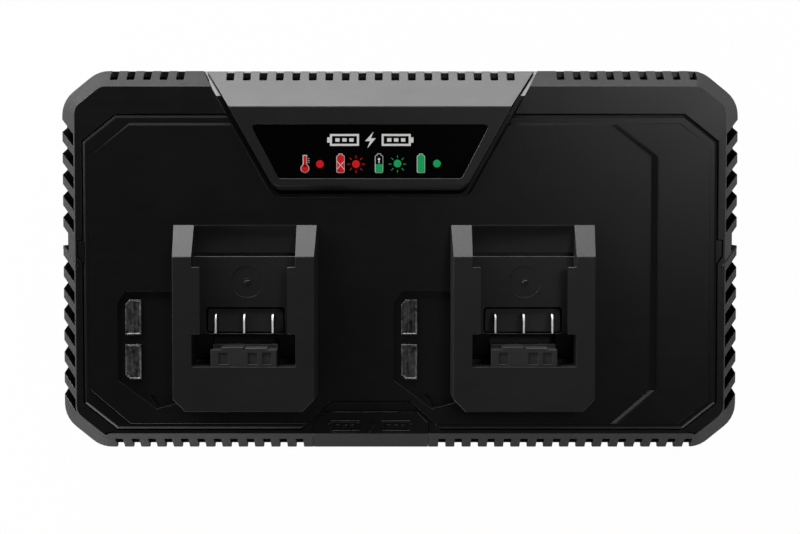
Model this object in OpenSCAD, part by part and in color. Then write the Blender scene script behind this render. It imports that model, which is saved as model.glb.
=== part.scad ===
// Two-bay battery charger for slide-on tool packs.
// Millimetres. Origin on the table under the middle of the case.
// +X runs to the right, +Y to the rear, +Z up. The packs slide in from the rear.

/* [Case] */
// Overall width of the case
case_w = 358; // [352:1:368]
// Overall depth of the case
case_d = 200; // [198:1:208]
// Length of a corner cut along the front and the rear
corner_cut_x = 19.5; // [17:0.5:22]
// Length of a corner cut along the sides
corner_cut_y = 15.8; // [14:0.2:18]
// Rounding of the case corners in plan
corner_r = 16; // [13:0.5:18]
// Height of the lower shell, from its underside to the joint line
base_h = 32; // [29:0.5:36]
// Height of the frame's upright side wall
skirt_h = 11; // [9:0.5:13]
// Height of the frame's sloping band
band_h = 12; // [11:0.5:13]
// Width of the sloping band in plan
band_w = 9; // [8:0.5:10]
// Wall thickness of the shells
wall = 3; // [2.6:0.1:3.4]
// How far the lower shell's underside is drawn in
base_inset = 7; // [5:0.5:9]
// How far the lower shell is drawn in above its bottom bevel
base_taper = 2; // [1:0.25:3]
// Height of the bottom bevel
base_bevel_h = 7; // [5:0.5:9]

/* [Vent slots] */
// Distance between neighbouring slots of the front and rear edges
slot_pitch = 8.7; // [8:0.1:9.5]
// Width of a slot
slot_w = 3.9; // [3.2:0.1:4.6]
// Depth of the front slots in plan
front_slot_depth = 5.4; // [4:0.1:6]
// Depth of the rear slots in plan
rear_slot_depth = 5.2; // [4:0.1:6.4]
// Distance between neighbouring side fins
fin_pitch = 11.3; // [10.6:0.1:12]
// Gap between two side fins, along the side
fin_gap = 6.3; // [5.6:0.1:6.8]
// How far a fin's rear face leans back from top to bottom
fin_lean = 2.9; // [2:0.1:3.4]
// Depth of the side slots in plan
fin_depth = 8.1; // [7:0.1:8.6]
// Rear edge of the rearmost side fin
fin_rear_y = 68; // [66:0.5:70]
// Number of fins behind the grip recess
rear_fins = 5; // [4:1:5]
// Number of fins in front of the grip recess
front_fins = 8; // [6:1:8]
// Length of the plain grip recess along each side
recess_len = 10.2; // [8:0.2:12]
// Depth of the grip recess
recess_depth = 4; // [3:0.25:5]

/* [Deck] */
// Middle line of the deck, the status bezel and the front plate
deck_cx = -15.5; // [-20:0.5:-10]
// Margin between the case side and the deck opening
deck_side_margin = 12.6; // [12:0.1:14]
// Margin between the case rear and the deck opening
deck_rear_margin = 23.5; // [22:0.25:26]
// Margin between the case front and the deck opening
deck_front_margin = 10.8; // [10.4:0.1:12]
// Length of a deck corner cut along the front and the rear
deck_cut_x = 17.6; // [15:0.2:20]
// Length of a deck corner cut along the sides
deck_cut_y = 14; // [12:0.2:16]
// Gap between the deck panel and the frame around it
deck_gap = 0.6; // [0.3:0.05:0.9]
// Thickness of the deck panel at its border
deck_t = 3.4; // [3:0.1:4]
// Height of the panel's border above the frame
deck_rise = 0.5; // [0.2:0.05:0.8]
// Height of the right-hand field above the border
field_rise = 0.8; // [0.4:0.1:1.2]
// Height of the main plateau above the right-hand field
plateau_rise = 1; // [0.6:0.1:1.4]
// Width of the border around the raised fields
deck_border = 4; // [3:0.25:5]
// Width of the border in front of the raised fields
deck_front_border = 3.1; // [2.5:0.1:4]
// Width of the chamfer round the panel
deck_chamfer = 1.4; // [0.8:0.1:2]
// Width of the lower field at the right
field_w = 30.8; // [28:0.2:33]
// Length of a field corner cut along the front and the rear
field_cut_x = 15.8; // [14:0.2:18]
// Length of a field corner cut along the side
field_cut_y = 12.4; // [11:0.2:14]
// Width of the sloping step at the plateau's right side
plateau_step_w = 3.2; // [2:0.2:4]
// Length of a plateau corner cut along the front and the rear
plateau_cut_x = 20.5; // [18:0.5:23]
// Length of a plateau corner cut along the sides
plateau_cut_y = 17.5; // [15:0.5:20]
// Width of the ledge that carries the deck panel
ledge_w = 7; // [6:0.25:8]
// Length of the tab on each side of the panel
tab_len = 9.5; // [9:0.5:12]
// How far the tabs reach past the panel
tab_reach = 2.6; // [1.5:0.1:2.8]

/* [Status bezel] */
// Half the width of the bezel bay at the rear edge of the case
bay_half_w = 88.3; // [86:0.5:91]
// Half the width of the bezel bay at its front
bay_front_half_w = 51; // [48:0.5:54]
// Distance from the case rear to the front of the bay
bay_len = 66.7; // [64:0.5:69]
// Gap between the bezel and its bay
bezel_gap = 1.5; // [1:0.1:2.2]
// Length of the bezel's rear slope in plan
bezel_slope_len = 19.9; // [18:0.2:22]
// Height of the bezel's flat face above the frame
bezel_rise = 4.5; // [4:0.25:5.5]
// How far the bezel's sides lean in
bezel_lean = 1.7; // [1.2:0.1:2.4]
// How far the bezel's front leans in
bezel_front_lean = 4.4; // [3.4:0.2:5.4]
// Thickness of the bezel's skin
bezel_t = 2.4; // [2:0.1:2.8]
// Length of the label
label_len = 27.5; // [25:0.5:29]
// Half the width of the label at its rear edge
label_half_w = 61.9; // [59:0.5:63]
// Half the width of the label at its front edge
label_front_half_w = 47.4; // [45:0.5:48.5]
// Distance from the bezel's slope to the label
label_margin = 9.4; // [8:0.2:11]
// Thickness of the label
label_t = 0.5; // [0.3:0.1:0.8]

/* [Front plate] */
// Width of the front plate
plate_w = 60.8; // [56:0.4:64]
// How far the front plate reaches back over the frame
plate_len = 20.6; // [19:0.2:22]
// Corner cuts of the front plate
plate_cut = 6; // [4:0.5:8]
// Half the width of the frame's front island at the deck's front edge
island_half_w = 36.8; // [35:0.2:38]
// Half the width of the island at its rear edge
island_top_half_w = 20; // [18:0.5:22]
// How far the island reaches behind the deck's front edge
island_len = 15.2; // [14:0.2:16]
// How far the front plate stands proud
plate_proud = 0.4; // [0.2:0.1:0.6]

/* [Docks] */
// Distance from the case's left side to the middle of the left dock
dock_left_margin = 98.5; // [97:0.5:100]
// Distance from the case's right side to the middle of the right dock
dock_right_margin = 115; // [113:0.5:117]
// Rear end of the docks
dock_rear_y = 18.7; // [17:0.5:20]
// Length of a dock
dock_len = 96; // [94:0.5:97]
// Width of a dock
dock_w = 73; // [72:0.5:74]
// Height of the dock rails above the plateau
dock_h = 14; // [13:0.5:16]
// How far the rails' outer walls lean in
rail_draft = 1.1; // [0.6:0.1:1.6]
// Height of the rails at their rear ends
rail_rear_h = 2.8; // [2.4:0.2:5]
// Width between the two rails
channel_w = 53.4; // [52:0.2:54]
// Width between the two lips
lip_gap_w = 44.8; // [43.6:0.2:46]
// Thickness of the lips
lip_t = 3.4; // [3:0.2:4]
// Distance from the dock's rear to the lips
lip_start = 21.4; // [19:0.4:23]
// Length of the lips
lip_len = 34.6; // [32:0.4:35.4]
// Length of the rails' rear slope in plan
rail_slope_len = 16.3; // [14:0.3:18]
// Corner cuts at the dock's front
dock_cut = 6.3; // [5:0.3:8]
// Height of the pack platform above the plateau
platform_rise = 3.3; // [2.6:0.1:4]
// Height of the lower floor at the dock's entry
entry_rise = 1.4; // [1.2:0.1:1.6]
// Height of the thin rim across the entry
rim_rise = 3; // [2.2:0.1:3.2]
// Distance from the dock's rear to the platform's step
platform_start = 16.2; // [14:0.3:18]
// Distance from the dock's rear to the terminal window
window_start = 42.8; // [42:0.2:43.6]
// Length of the terminal window
window_len = 13.6; // [12.8:0.2:14]
// Width of the terminal window
window_w = 40.8; // [39:0.2:42]
// Distance from the dock's rear to the latch recess
recess_start = 57; // [56.8:0.1:57.4]
// Length of the latch recess
latch_len = 15.8; // [15:0.2:16.4]
// Depth of the side pockets below the platform
pocket_drop = 8.5; // [7:0.5:10]
// Width of the stop block
stop_w = 34; // [33:0.2:35]
// Length of the stop block
stop_len = 10.8; // [10:0.2:11]

/* [Terminals] */
// Distance between neighbouring blades
blade_pitch = 14.7; // [14:0.1:15.4]
// Thickness of a blade
blade_t = 0.9; // [0.7:0.1:1.2]
// Length of a blade along the dock
blade_len = 10.2; // [9:0.2:10.6]
// Height of a blade above its carrier
blade_h = 8; // [7:0.5:8.5]
// Clearance between the carrier and its window
carrier_gap = 0.8; // [0.5:0.1:1.1]

/* [Status windows] */
// Distance from a dock's middle to its status windows
lens_dx = 59.2; // [58:0.2:60.4]
// Width of a status window
lens_w = 8.4; // [7.6:0.2:9]
// Length of a status window
lens_len = 18.4; // [17:0.2:19]
// Distance between the middles of the two windows
lens_pitch = 23.4; // [22.6:0.2:24.4]
// Distance from the dock's rear to the middle of the rear window
lens_start = 48.3; // [47:0.2:49.6]
// Depth of the pocket around the windows
console_drop = 1.5; // [1:0.1:1.8]
// How far the windows stand out of the pocket
lens_rise = 0.9; // [0.5:0.1:1.3]

/* [Underside] */
// Thickness of the rubber feet below the case
foot_h = 3; // [2:0.25:4]
// Radius of a foot
foot_r = 8; // [7:0.5:9]
// Distance between the feet, left to right
feet_dx = 276; // [268:1:284]
// Distance between the feet, front to rear
feet_dy = 132; // [126:1:136]
// Distance between the two wall-hanging keyholes
keyhole_pitch = 200; // [192:1:208]
// Radius of a keyhole's round end
keyhole_r = 4.6; // [4:0.1:5]
// Width of a keyhole's slot
keyhole_slot_w = 4.6; // [4:0.1:5]
// Length of a keyhole's slot
keyhole_len = 10; // [8:0.5:12]

/* [Fastenings] */
// Radius of the case screws' shanks
screw_r = 1.7; // [1.5:0.05:1.9]
// Radius of the case screws' heads
screw_head_r = 3.4; // [3:0.1:3.8]
// Radius of the small screws' shanks
small_screw_r = 1.2; // [1:0.05:1.3]
// Radius of the small screws' heads
small_head_r = 2.4; // [2.1:0.1:2.6]
// Clearance round a screw's shank
screw_fit = 0.05; // [0.03:0.01:0.08]

/* [Electronics] */
// Width of the main board
board_w = 236; // [228:1:240]
// Depth of the main board
board_d = 118; // [114:1:120]
// Thickness of the main board
board_t = 1.6; // [1.2:0.1:2]
// Height of the board's standoffs
standoff_h = 7; // [6:0.5:8]
// Width and height of the cooling fan
fan_size = 40; // [38:0.5:40]
// Thickness of the cooling fan
fan_t = 10; // [9:0.5:12]
// Radius of the fan's hub
fan_hub_r = 9; // [8:0.25:10]
// Radius of the fan's axle
fan_axle_r = 1.5; // [1.2:0.1:1.8]
// Running clearance of the fan's axle
fan_fit = 0.05; // [0.02:0.01:0.08]

/* [Hidden] */

eps = 0.01;
over = 1;                 // how far a cutter runs past what it cuts
corner_steps = 5;         // straight pieces in one rounded corner
fit = 0.2;                // clearance between parts that drop into each other

base_z = foot_h;
parting_z = base_z + base_h;
band_z = parting_z + skirt_h;
top_z = band_z + band_h;
floor_t = wall;
floor_z = base_z + floor_t;
half_w = case_w / 2;
half_d = case_d / 2;

// Deck levels
ledge_top_z = top_z + deck_rise - deck_t;
ledge_t = 2.8;
border_z = top_z + deck_rise;
field_z = border_z + field_rise;
plateau_z = field_z + plateau_rise;
open_half_w = half_w - deck_side_margin;
open_rear_y = half_d - deck_rear_margin;
open_front_y = -half_d + deck_front_margin;

// Bezel and bay levels
bay_skin = 2.2;
bay_seat = 2.4;           // depth of the bay's slope below the bezel's slope
bezel_top_z = top_z + bezel_rise;
bezel_slope = (bezel_top_z - band_z) / bezel_slope_len;
bay_flat_z = top_z - 3;
bay_rear_z = band_z - bay_seat;
bay_flat_y = half_d - (bay_flat_z - bay_rear_z) / bezel_slope;
bay_deck_z = border_z - 2.2;
bay_front_y = half_d - bay_len;

// Dock levels, from the plateau
dock_top_z = plateau_z + dock_h;
platform_z = plateau_z + platform_rise;
entry_z = plateau_z + entry_rise;
tub_floor_t = 2.6;
pocket_z = platform_z - pocket_drop;
tub_z = pocket_z - tub_floor_t;
dock_left_x = -half_w + dock_left_margin;
dock_right_x = half_w - dock_right_margin;
dock_xs = [dock_left_x, dock_right_x];
dock_front_y = dock_rear_y - dock_len;
window_y = dock_rear_y - window_start;
recess_y = dock_rear_y - recess_start;
recess_front_y = recess_y - latch_len;
tub_side = 2.2;           // wall of the tub below the deck
tub_rear = 2.8;           // what the tub reaches behind the terminal window
deck_hole_gap = 0.4;

// Fastening places
boss_r = 4.6;
pillar_top_z = base_z + 17;
head_seat_z = base_z + 11;
case_screw_len = 16;
rear_boss_y = half_d - 17.5;
corner_boss_x = half_w - 34;
mid_boss_dx = 58;
front_boss_y = open_front_y + 9.5;
front_corner_boss_x = half_w - 22;
front_corner_boss_y = -half_d + 22;
case_screw_places = [
    [corner_boss_x, rear_boss_y], [-corner_boss_x, rear_boss_y],
    [front_corner_boss_x, front_corner_boss_y], [-front_corner_boss_x, front_corner_boss_y],
    [deck_cx + mid_boss_dx, rear_boss_y], [deck_cx - mid_boss_dx, rear_boss_y],
    [deck_cx + 18, front_boss_y], [deck_cx - 18, front_boss_y]
];
deck_screw_inset = 4.5;
deck_screw_y = 44;
deck_screw_places = [
    [open_half_w - deck_screw_inset, deck_screw_y], [-open_half_w + deck_screw_inset, deck_screw_y],
    [open_half_w - deck_screw_inset, -deck_screw_y], [-open_half_w + deck_screw_inset, -deck_screw_y],
    [half_w - 69, open_rear_y - deck_screw_inset], [-half_w + 59, open_rear_y - deck_screw_inset],
    [half_w - 69, open_front_y + deck_screw_inset], [-half_w + 69, open_front_y + deck_screw_inset]
];
dock_screw_dx = (dock_w / 2 + channel_w / 2) / 2 + 0.6;
dock_screw_ys = [dock_rear_y - 23, dock_front_y + 14];
dock_screw_len = 9;
small_head_h = 1.6;

// Board and what stands on it
board_cx = -4;
board_cy = -16;
board_z = floor_z + standoff_h;
board_top_z = board_z + board_t;
board_hole_dx = board_w / 2 - 6;
board_hole_dy = board_d / 2 - 6;
standoff_r = 3.6;

// Fan
fan_x = -half_w + 18;     // middle of the fan's thickness
fan_y = 45;
fan_z = floor_z + fan_size / 2 + fit;
fan_bore_r = fan_size / 2 - 1.4;
fan_tip_gap = 0.8;
fan_plate_t = 1.6;
fan_blades = 7;

plastic = [0.07, 0.07, 0.075];
soft_black = [0.1, 0.1, 0.105];
metal = [0.75, 0.75, 0.73];

// ---------- Outlines ----------

// A cut corner keeps its wall parallel when its outline is drawn in by d.
function cut_after(cut, other, d) = cut + (norm([cut, other]) - cut - other) * d / other;

function octagon(x0, x1, y0, y1, cx, cy) = [
    [x1, y0 + cy], [x1, y1 - cy], [x1 - cx, y1], [x0 + cx, y1],
    [x0, y1 - cy], [x0, y0 + cy], [x0 + cx, y0], [x1 - cx, y0]
];

function unit(v) = v / norm(v);

function turn(a, b) = let (d = b - a) d > 180 ? d - 360 : d < -180 ? d + 360 : d;

function corner_arc(before, at, after, r, steps) =
    let (
        a = unit(before - at),
        b = unit(after - at),
        half = acos(a * b) / 2,
        mid = at + unit(a + b) * r / sin(half),
        from = at + a * r / tan(half) - mid,
        to = at + b * r / tan(half) - mid,
        a0 = atan2(from[1], from[0]),
        sweep = turn(a0, atan2(to[1], to[0]))
    )
    [for (k = [0 : steps]) mid + r * [cos(a0 + sweep * k / steps), sin(a0 + sweep * k / steps)]];

// Rounds every corner of an outline with radius r.
function rounded(pts, r, steps = 4) =
    let (n = len(pts))
    [for (i = [0 : n - 1]) each corner_arc(pts[(i + n - 1) % n], pts[i], pts[(i + 1) % n], r, steps)];

// The case outline drawn in by d.
function outline(d) =
    rounded(
        octagon(-half_w + d, half_w - d, -half_d + d, half_d - d,
            cut_after(corner_cut_x, corner_cut_y, d), cut_after(corner_cut_y, corner_cut_x, d)),
        max(corner_r - d, 1.5), corner_steps);

// The same with its front set back, as the case has it below the front teeth.
front_draw = 2.1;
tooth_z = band_z - 2.8;
tooth_chamfer = 0.9;
function drawn(d) = [for (p = outline(d)) [p[0], p[1] < 0 ? p[1] + front_draw : p[1]]];

// The deck opening drawn in by d.
function deck_octagon(d) =
    octagon(-open_half_w + d, open_half_w - d, open_front_y + d, open_rear_y - d,
        cut_after(deck_cut_x, deck_cut_y, d), cut_after(deck_cut_y, deck_cut_x, d));

// The bezel bay, drawn in by d at its sides and its front. Its sides run on past the case rear.
function bay_half(y) =
    bay_front_half_w + (bay_half_w - bay_front_half_w) * (y - bay_front_y) / bay_len;

function bay_outline(d, r, front = 0) =
    let (
        y0 = bay_front_y + d + front,
        y1 = half_d + over * 4,
        side = d * norm([1, (bay_half_w - bay_front_half_w) / bay_len])
    )
    [
        [deck_cx + bay_half(y1) - side, y1],
        [deck_cx - bay_half(y1) + side, y1],
        each corner_arc(
            [deck_cx - bay_half(y1) + side, y1], [deck_cx - bay_half(y0) + side, y0],
            [deck_cx, y0], r, 5),
        each corner_arc(
            [deck_cx, y0], [deck_cx + bay_half(y0) - side, y0],
            [deck_cx + bay_half(y1) - side, y1], r, 5)
    ];

// The frame's island that fills the notch in the deck's front edge, grown by d.
function island(d) = [
    [deck_cx - island_half_w - d - over * 1.1, open_front_y - over],
    [deck_cx + island_half_w + d + over * 1.1, open_front_y - over],
    [deck_cx + island_top_half_w + d * 0.8, open_front_y + island_len + d],
    [deck_cx - island_top_half_w - d * 0.8, open_front_y + island_len + d]
];

// A tab of the deck panel on the side s, grown by d.
tab_y = 5.5;
function side_tab(s, d) =
    let (x0 = open_half_w - over, x1 = open_half_w - deck_gap + tab_reach + d)
    [
        [s * x0, tab_y + tab_len / 2 + d], [s * x1, tab_y + tab_len / 2 + d],
        [s * x1, tab_y - tab_len / 2 + 2 - d], [s * x0, tab_y - tab_len / 2 - tab_reach - d]
    ];

module slab(pts, z0, z1) {
    translate([0, 0, z0]) linear_extrude(height = z1 - z0) polygon(pts);
}

// A solid through outlines with the same number of points, each a [points, height] pair.
module loft_rings(rings) {
    n = len(rings[0][0]);
    last = len(rings) - 1;
    polyhedron(
        points = [for (r = rings) for (p = r[0]) [p[0], p[1], r[1]]],
        faces = [
            [for (i = [0 : n - 1]) i],
            [for (i = [0 : n - 1]) (last + 1) * n - 1 - i],
            for (k = [0 : last - 1], i = [0 : n - 1])
                let (a = k * n + i, b = k * n + (i + 1) % n) [a, a + n, b + n, b]
        ]);
}

module loft(low, z0, high, z1) loft_rings([[low, z0], [high, z1]]);

module box(x0, x1, y0, y1, z0, z1) {
    translate([x0, y0, z0]) cube([x1 - x0, y1 - y0, z1 - z0]);
}

// A side profile in Y and Z, run along X.
module along_x(profile, x0, x1) {
    translate([x0, 0, 0]) rotate([90, 0, 90]) linear_extrude(height = x1 - x0) polygon(profile);
}

module rod(p, r, z0, z1, fn = 24) {
    translate([p[0], p[1], z0]) cylinder(r = r, h = z1 - z0, $fn = fn);
}

// ---------- Vent slots ----------

rear_skip = 2;
bezel_slots = 18;
corner_keep = corner_cut_x + 3;

// Slot middles along the front or the rear edge, from the deck's middle line out to the corner cuts.
function slot_xs(first, side) = [
    for (k = [0 : 30]) let (x = deck_cx + side * (first + k * slot_pitch))
        if (abs(x) + slot_w / 2 < half_w - corner_keep) x
];
front_first = plate_w / 2 + 7.4;
rear_first = (bezel_slots / 2 + rear_skip + 0.5) * slot_pitch;
bezel_slot_xs = [for (k = [0 : bezel_slots - 1]) deck_cx + (k - (bezel_slots - 1) / 2) * slot_pitch];

module edge_slots(xs, side, depth, z0 = parting_z - over, z1 = top_z + over) {
    for (x = xs)
        box(x - slot_w / 2, x + slot_w / 2,
            side > 0 ? half_d - depth : -half_d - over, side > 0 ? half_d + over : -half_d + depth, z0, z1);
}

// A slot has a sill across it, and a vent below the sill.
sill_z = band_z - 1.6;
sill_t = 2.2;
vent_edge = 1.6;
module front_slots(xs) {
    edge_slots(xs, -1, front_draw, tooth_z - over);
    edge_slots(xs, -1, front_slot_depth, sill_z);
    edge_slots(xs, -1, front_slot_depth, parting_z + vent_edge, sill_z - sill_t);
}
module rear_slots(xs) {
    edge_slots(xs, 1, rear_slot_depth, sill_z);
    edge_slots(xs, 1, rear_slot_depth, parting_z + vent_edge, sill_z - sill_t);
}

// One slanted side slot on the right side, behind the fin whose rear edge meets the side at y. It runs
// 45 degrees inwards and forwards, and the fin's rear face leans so that the fin is wider at the foot.
function fin_plan(y, lean) = [
    [half_w - fin_depth, y - fin_depth + lean], [half_w + over, y + over + lean],
    [half_w + over, y + over + fin_gap], [half_w - fin_depth, y - fin_depth + fin_gap]
];
module fin_slot(y) {
    loft(fin_plan(y, fin_lean), parting_z - over, fin_plan(y, 0), band_z);
    slab(fin_plan(y, 0), band_z - eps, top_z + over);
}

module side_slots() {
    for (k = [0 : rear_fins - 1]) fin_slot(fin_rear_y - k * fin_pitch);
    for (k = [1 : front_fins - 1]) fin_slot(front_group_y - k * fin_pitch);
}

// Rear edge of the first fin of the front group, past the grip recess
last_rear_fin_y = fin_rear_y - (rear_fins - 1) * fin_pitch;
front_group_y = last_rear_fin_y - (fin_pitch - fin_gap) - recess_len;

module grip_recess() {
    y1 = front_group_y + recess_len;
    y0 = front_group_y;
    slab([
        [half_w + over, y0 + over], [half_w + over, y1 + over],
        [half_w - recess_depth, y1 - recess_depth], [half_w - recess_depth, y0 - recess_depth + over]
    ], parting_z - over, top_z + over);
}

// A low rib along the first fin past the grip recess
rib_w = 1.5;
rib_h = 0.45;
module fin_rib() {
    y = front_group_y - 0.2;
    reach = band_w + 1.5;
    intersection() {
        slab([
            [half_w - reach, y - reach - rib_w], [half_w + over, y + over - rib_w],
            [half_w + over, y + over], [half_w - reach, y - reach]
        ], band_z - 2, top_z + over);
        loft_rings([
            [outline(0), band_z - 2], [outline(0), band_z + rib_h], [outline(band_w), top_z + rib_h]
        ]);
    }
}

module both_sides() {
    children();
    mirror([1, 0, 0]) children();
}

// ---------- Lower shell ----------

inlet_x = -half_w + 61;
inlet_w = 21;
inlet_h = 13.4;
inlet_z = base_z + 16;
inlet_depth = 15;
inlet_face_y = half_d - base_taper - 1.2;
inlet_flange = 2.2;
floor_vent_w = 3;
floor_vent_len = 34;

module keyhole(x) {
    translate([x, 40, base_z - over]) {
        cylinder(r = keyhole_r, h = floor_t + 2 * over, $fn = 32);
        translate([-keyhole_slot_w / 2, 0, 0]) cube([keyhole_slot_w, keyhole_len, floor_t + 2 * over]);
        translate([0, keyhole_len, 0]) cylinder(r = keyhole_slot_w / 2, h = floor_t + 2 * over, $fn = 24);
    }
}

function foot_places() = [for (x = [-1, 1], y = [-1, 1]) [x * feet_dx / 2, y * feet_dy / 2]];
foot_seat = 1;

module base_shell() color(plastic) difference() {
    union() {
        difference() {
            loft_rings([
                [drawn(base_inset), base_z], [drawn(base_taper), base_z + base_bevel_h],
                [drawn(0), parting_z]
            ]);
            loft_rings([
                [drawn(base_inset + wall * 0.8), floor_z],
                [drawn(base_taper + wall), base_z + base_bevel_h + 1], [drawn(wall), parting_z],
                [drawn(wall), parting_z + over]
            ]);
        }
        // Screw pillars, standoffs and foot pads
        for (p = case_screw_places) rod(p, boss_r + 1.2, floor_z - eps, pillar_top_z, 32);
        for (x = [-1, 1], y = [-1, 1])
            rod([board_cx + x * board_hole_dx, board_cy + y * board_hole_dy], standoff_r,
                floor_z - eps, board_z);
        for (p = foot_places()) rod(p, foot_r + 2, floor_z - eps, floor_z + 1.2, 32);
        // Two ribs that hold the fan upright
        for (s = [-1, 1])
            box(fan_x + s * (fan_t / 2 + fit + 1) - 1, fan_x + s * (fan_t / 2 + fit + 1) + 1,
                fan_y - fan_size / 2, fan_y + fan_size / 2, floor_z - eps, floor_z + 4);
    }
    for (p = case_screw_places) {
        rod(p, screw_r + 0.3, head_seat_z - over, pillar_top_z + over, 24);
        rod(p, screw_head_r + 0.4, base_z - over, head_seat_z, 32);
    }
    for (x = [-1, 1], y = [-1, 1])
        rod([board_cx + x * board_hole_dx, board_cy + y * board_hole_dy],
            small_screw_r + screw_fit, floor_z + 0.6, board_z + over);
    for (p = foot_places()) rod(p, foot_r + fit, base_z - over, base_z + foot_seat, 32);
    for (x = [-1, 1]) keyhole(x * keyhole_pitch / 2);
    // Air slots under the board
    for (x = [-3.5 : 3.5], c = [-62, 62])
        box(c + x * 7 - floor_vent_w / 2, c + x * 7 + floor_vent_w / 2,
            -30 - floor_vent_len / 2, -30 + floor_vent_len / 2, base_z - over, floor_z + over);
    // Mains inlet
    box(inlet_x - inlet_w / 2 - fit, inlet_x + inlet_w / 2 + fit, half_d - wall - base_taper - 3,
        half_d + over, inlet_z - inlet_h / 2 - fit, inlet_z + inlet_h / 2 + fit);
}

module rubber_feet() color("dimgray") for (p = foot_places())
    translate([p[0], p[1], 0]) {
        cylinder(r1 = foot_r - 0.8, r2 = foot_r, h = 0.8, $fn = 40);
        translate([0, 0, 0.8]) cylinder(r = foot_r, h = base_z + foot_seat - 0.8, $fn = 40);
    }

module screw(p, head_z, head_h, head_r, shank_r, len) {
    translate([p[0], p[1], head_z]) difference() {
        union() {
            cylinder(r = head_r, h = head_h, $fn = 24);
            translate([0, 0, head_h - eps]) cylinder(r = shank_r, h = len + eps, $fn = 20);
        }
        for (a = [0, 90]) rotate([0, 0, a]) translate([-head_r * 0.6, -0.35, -over])
            cube([head_r * 1.2, 0.7, over + head_h * 0.5]);
    }
}

case_head_h = 2.6;
module case_screws() color(metal) for (p = case_screw_places)
    screw(p, head_seat_z - case_head_h, case_head_h, screw_head_r, screw_r, case_screw_len);

// ---------- Upper frame ----------

// The bay's floor: up the slope from the case rear, then flat, seen from the side.
function bay_floor(drop) = [
    [half_d + over * 4, bay_rear_z - over * 4 * bezel_slope - drop],
    [bay_flat_y, bay_flat_z - drop],
    [bay_front_y - over, bay_flat_z - drop]
];

module bay_space(d) intersection() {
    slab(bay_outline(d, 6), parting_z, bezel_top_z + over);
    along_x([each bay_floor(0), [bay_front_y - over, bezel_top_z + 2 * over],
        [half_d + over * 4, bezel_top_z + 2 * over]], deck_cx - bay_half_w * 1.2,
            deck_cx + bay_half_w * 1.2);
}

module frame_skin() difference() {
    loft_rings([
        [drawn(0), parting_z], [drawn(0), tooth_z], [outline(0), tooth_z + tooth_chamfer],
        [outline(0), band_z], [outline(band_w), top_z]
    ]);
    loft_rings([
        [drawn(wall + 0.4), parting_z - over], [drawn(wall + 0.4), tooth_z], [outline(wall + 0.4),
            band_z - 0.4],
        [outline(band_w + 1.5), top_z - wall]
    ]);
    slab(deck_octagon(0), parting_z, top_z + over);
}

module frame_body() {
    difference() {
        union() {
            frame_skin();
            both_sides() fin_rib();
            // Ledge that carries the deck panel
            intersection() {
                difference() {
                    slab(deck_octagon(-3), ledge_top_z - ledge_t, ledge_top_z);
                    slab(deck_octagon(ledge_w), ledge_top_z - ledge_t - over, ledge_top_z + over);
                }
                slab(outline(band_w + 0.5), parting_z, top_z);
            }
            // Island between the deck's front edge and the front plate
            slab([
                [deck_cx - island_half_w - 3, open_front_y - 1], [deck_cx + island_half_w + 3,
                    open_front_y - 1],
                [deck_cx + island_half_w, open_front_y], [deck_cx + island_top_half_w,
                    open_front_y + island_len],
                [deck_cx - island_top_half_w, open_front_y + island_len], [deck_cx - island_half_w,
                    open_front_y]
            ], ledge_top_z - ledge_t, top_z);
            for (p = case_screw_places)
                rod(p, boss_r + 3, ledge_top_z - ledge_t, ledge_top_z - eps, 32);
        }
        bay_space(0);
    }
    // Floor of the bezel bay
    intersection() {
        slab(bay_outline(-2, 4), parting_z, top_z);
        slab(outline(0.6), parting_z, top_z);
        along_x([each bay_floor(0), each [for (k = [2, 1, 0]) bay_floor(bay_skin)[k]]],
            deck_cx - bay_half_w * 1.2, deck_cx + bay_half_w * 1.2);
        box(-half_w, half_w, open_rear_y - ledge_w, half_d, 0, top_z);
    }
    for (p = case_screw_places) rod(p, boss_r, pillar_top_z, ledge_top_z - ledge_t + eps, 32);
}

module top_frame() color(plastic) difference() {
    frame_body();
    for (p = case_screw_places)
        rod(p, screw_r + screw_fit, pillar_top_z - over, pillar_top_z + case_screw_len + over, 24);
    for (p = deck_screw_places)
        rod(p, small_screw_r + 0.25, ledge_top_z - ledge_t - over, ledge_top_z + over, 20);
    for (s = [-1, 1]) slab(side_tab(s, deck_gap), ledge_top_z, top_z + over);
    front_slots(slot_xs(front_first, -1));
    front_slots(slot_xs(front_first, 1));
    rear_slots(slot_xs(rear_first, -1));
    rear_slots(slot_xs(rear_first, 1));
    rear_slots(bezel_slot_xs);
    both_sides() side_slots();
    both_sides() grip_recess();
    front_plate_seat();
}

// ---------- Deck panel ----------

// The shallow pocket beside each dock that holds its status windows, in the dock's own X.
console_x0 = -lens_dx - 8.1;
console_x1 = -dock_w / 2 + 2;
console_rear_y = dock_rear_y - 34.6;
console_front_y = dock_rear_y - 96.6;
console_floor_z = plateau_z - console_drop;
console_outline = [
    [console_x0, console_front_y + 15.2], [console_x0, console_rear_y - 6.1],
    [console_x0 + 4.3, console_rear_y], [console_x1, console_rear_y],
    [console_x1, console_front_y + 3.5], [console_x0 + 20.2, console_front_y]
];
// A drain notch near the pocket's front end
notch_outline = [
    [console_x0 + 15.6, console_front_y + 8], [console_x0 + 20.8, console_front_y],
    [console_x0 + 22.1, console_front_y + 1.3], [console_x0 + 18.2, console_front_y + 7.3]
];

function lens_places() = [for (x = dock_xs, k = [0, 1]) [x - lens_dx,
    dock_rear_y - lens_start - k * lens_pitch]];

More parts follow.
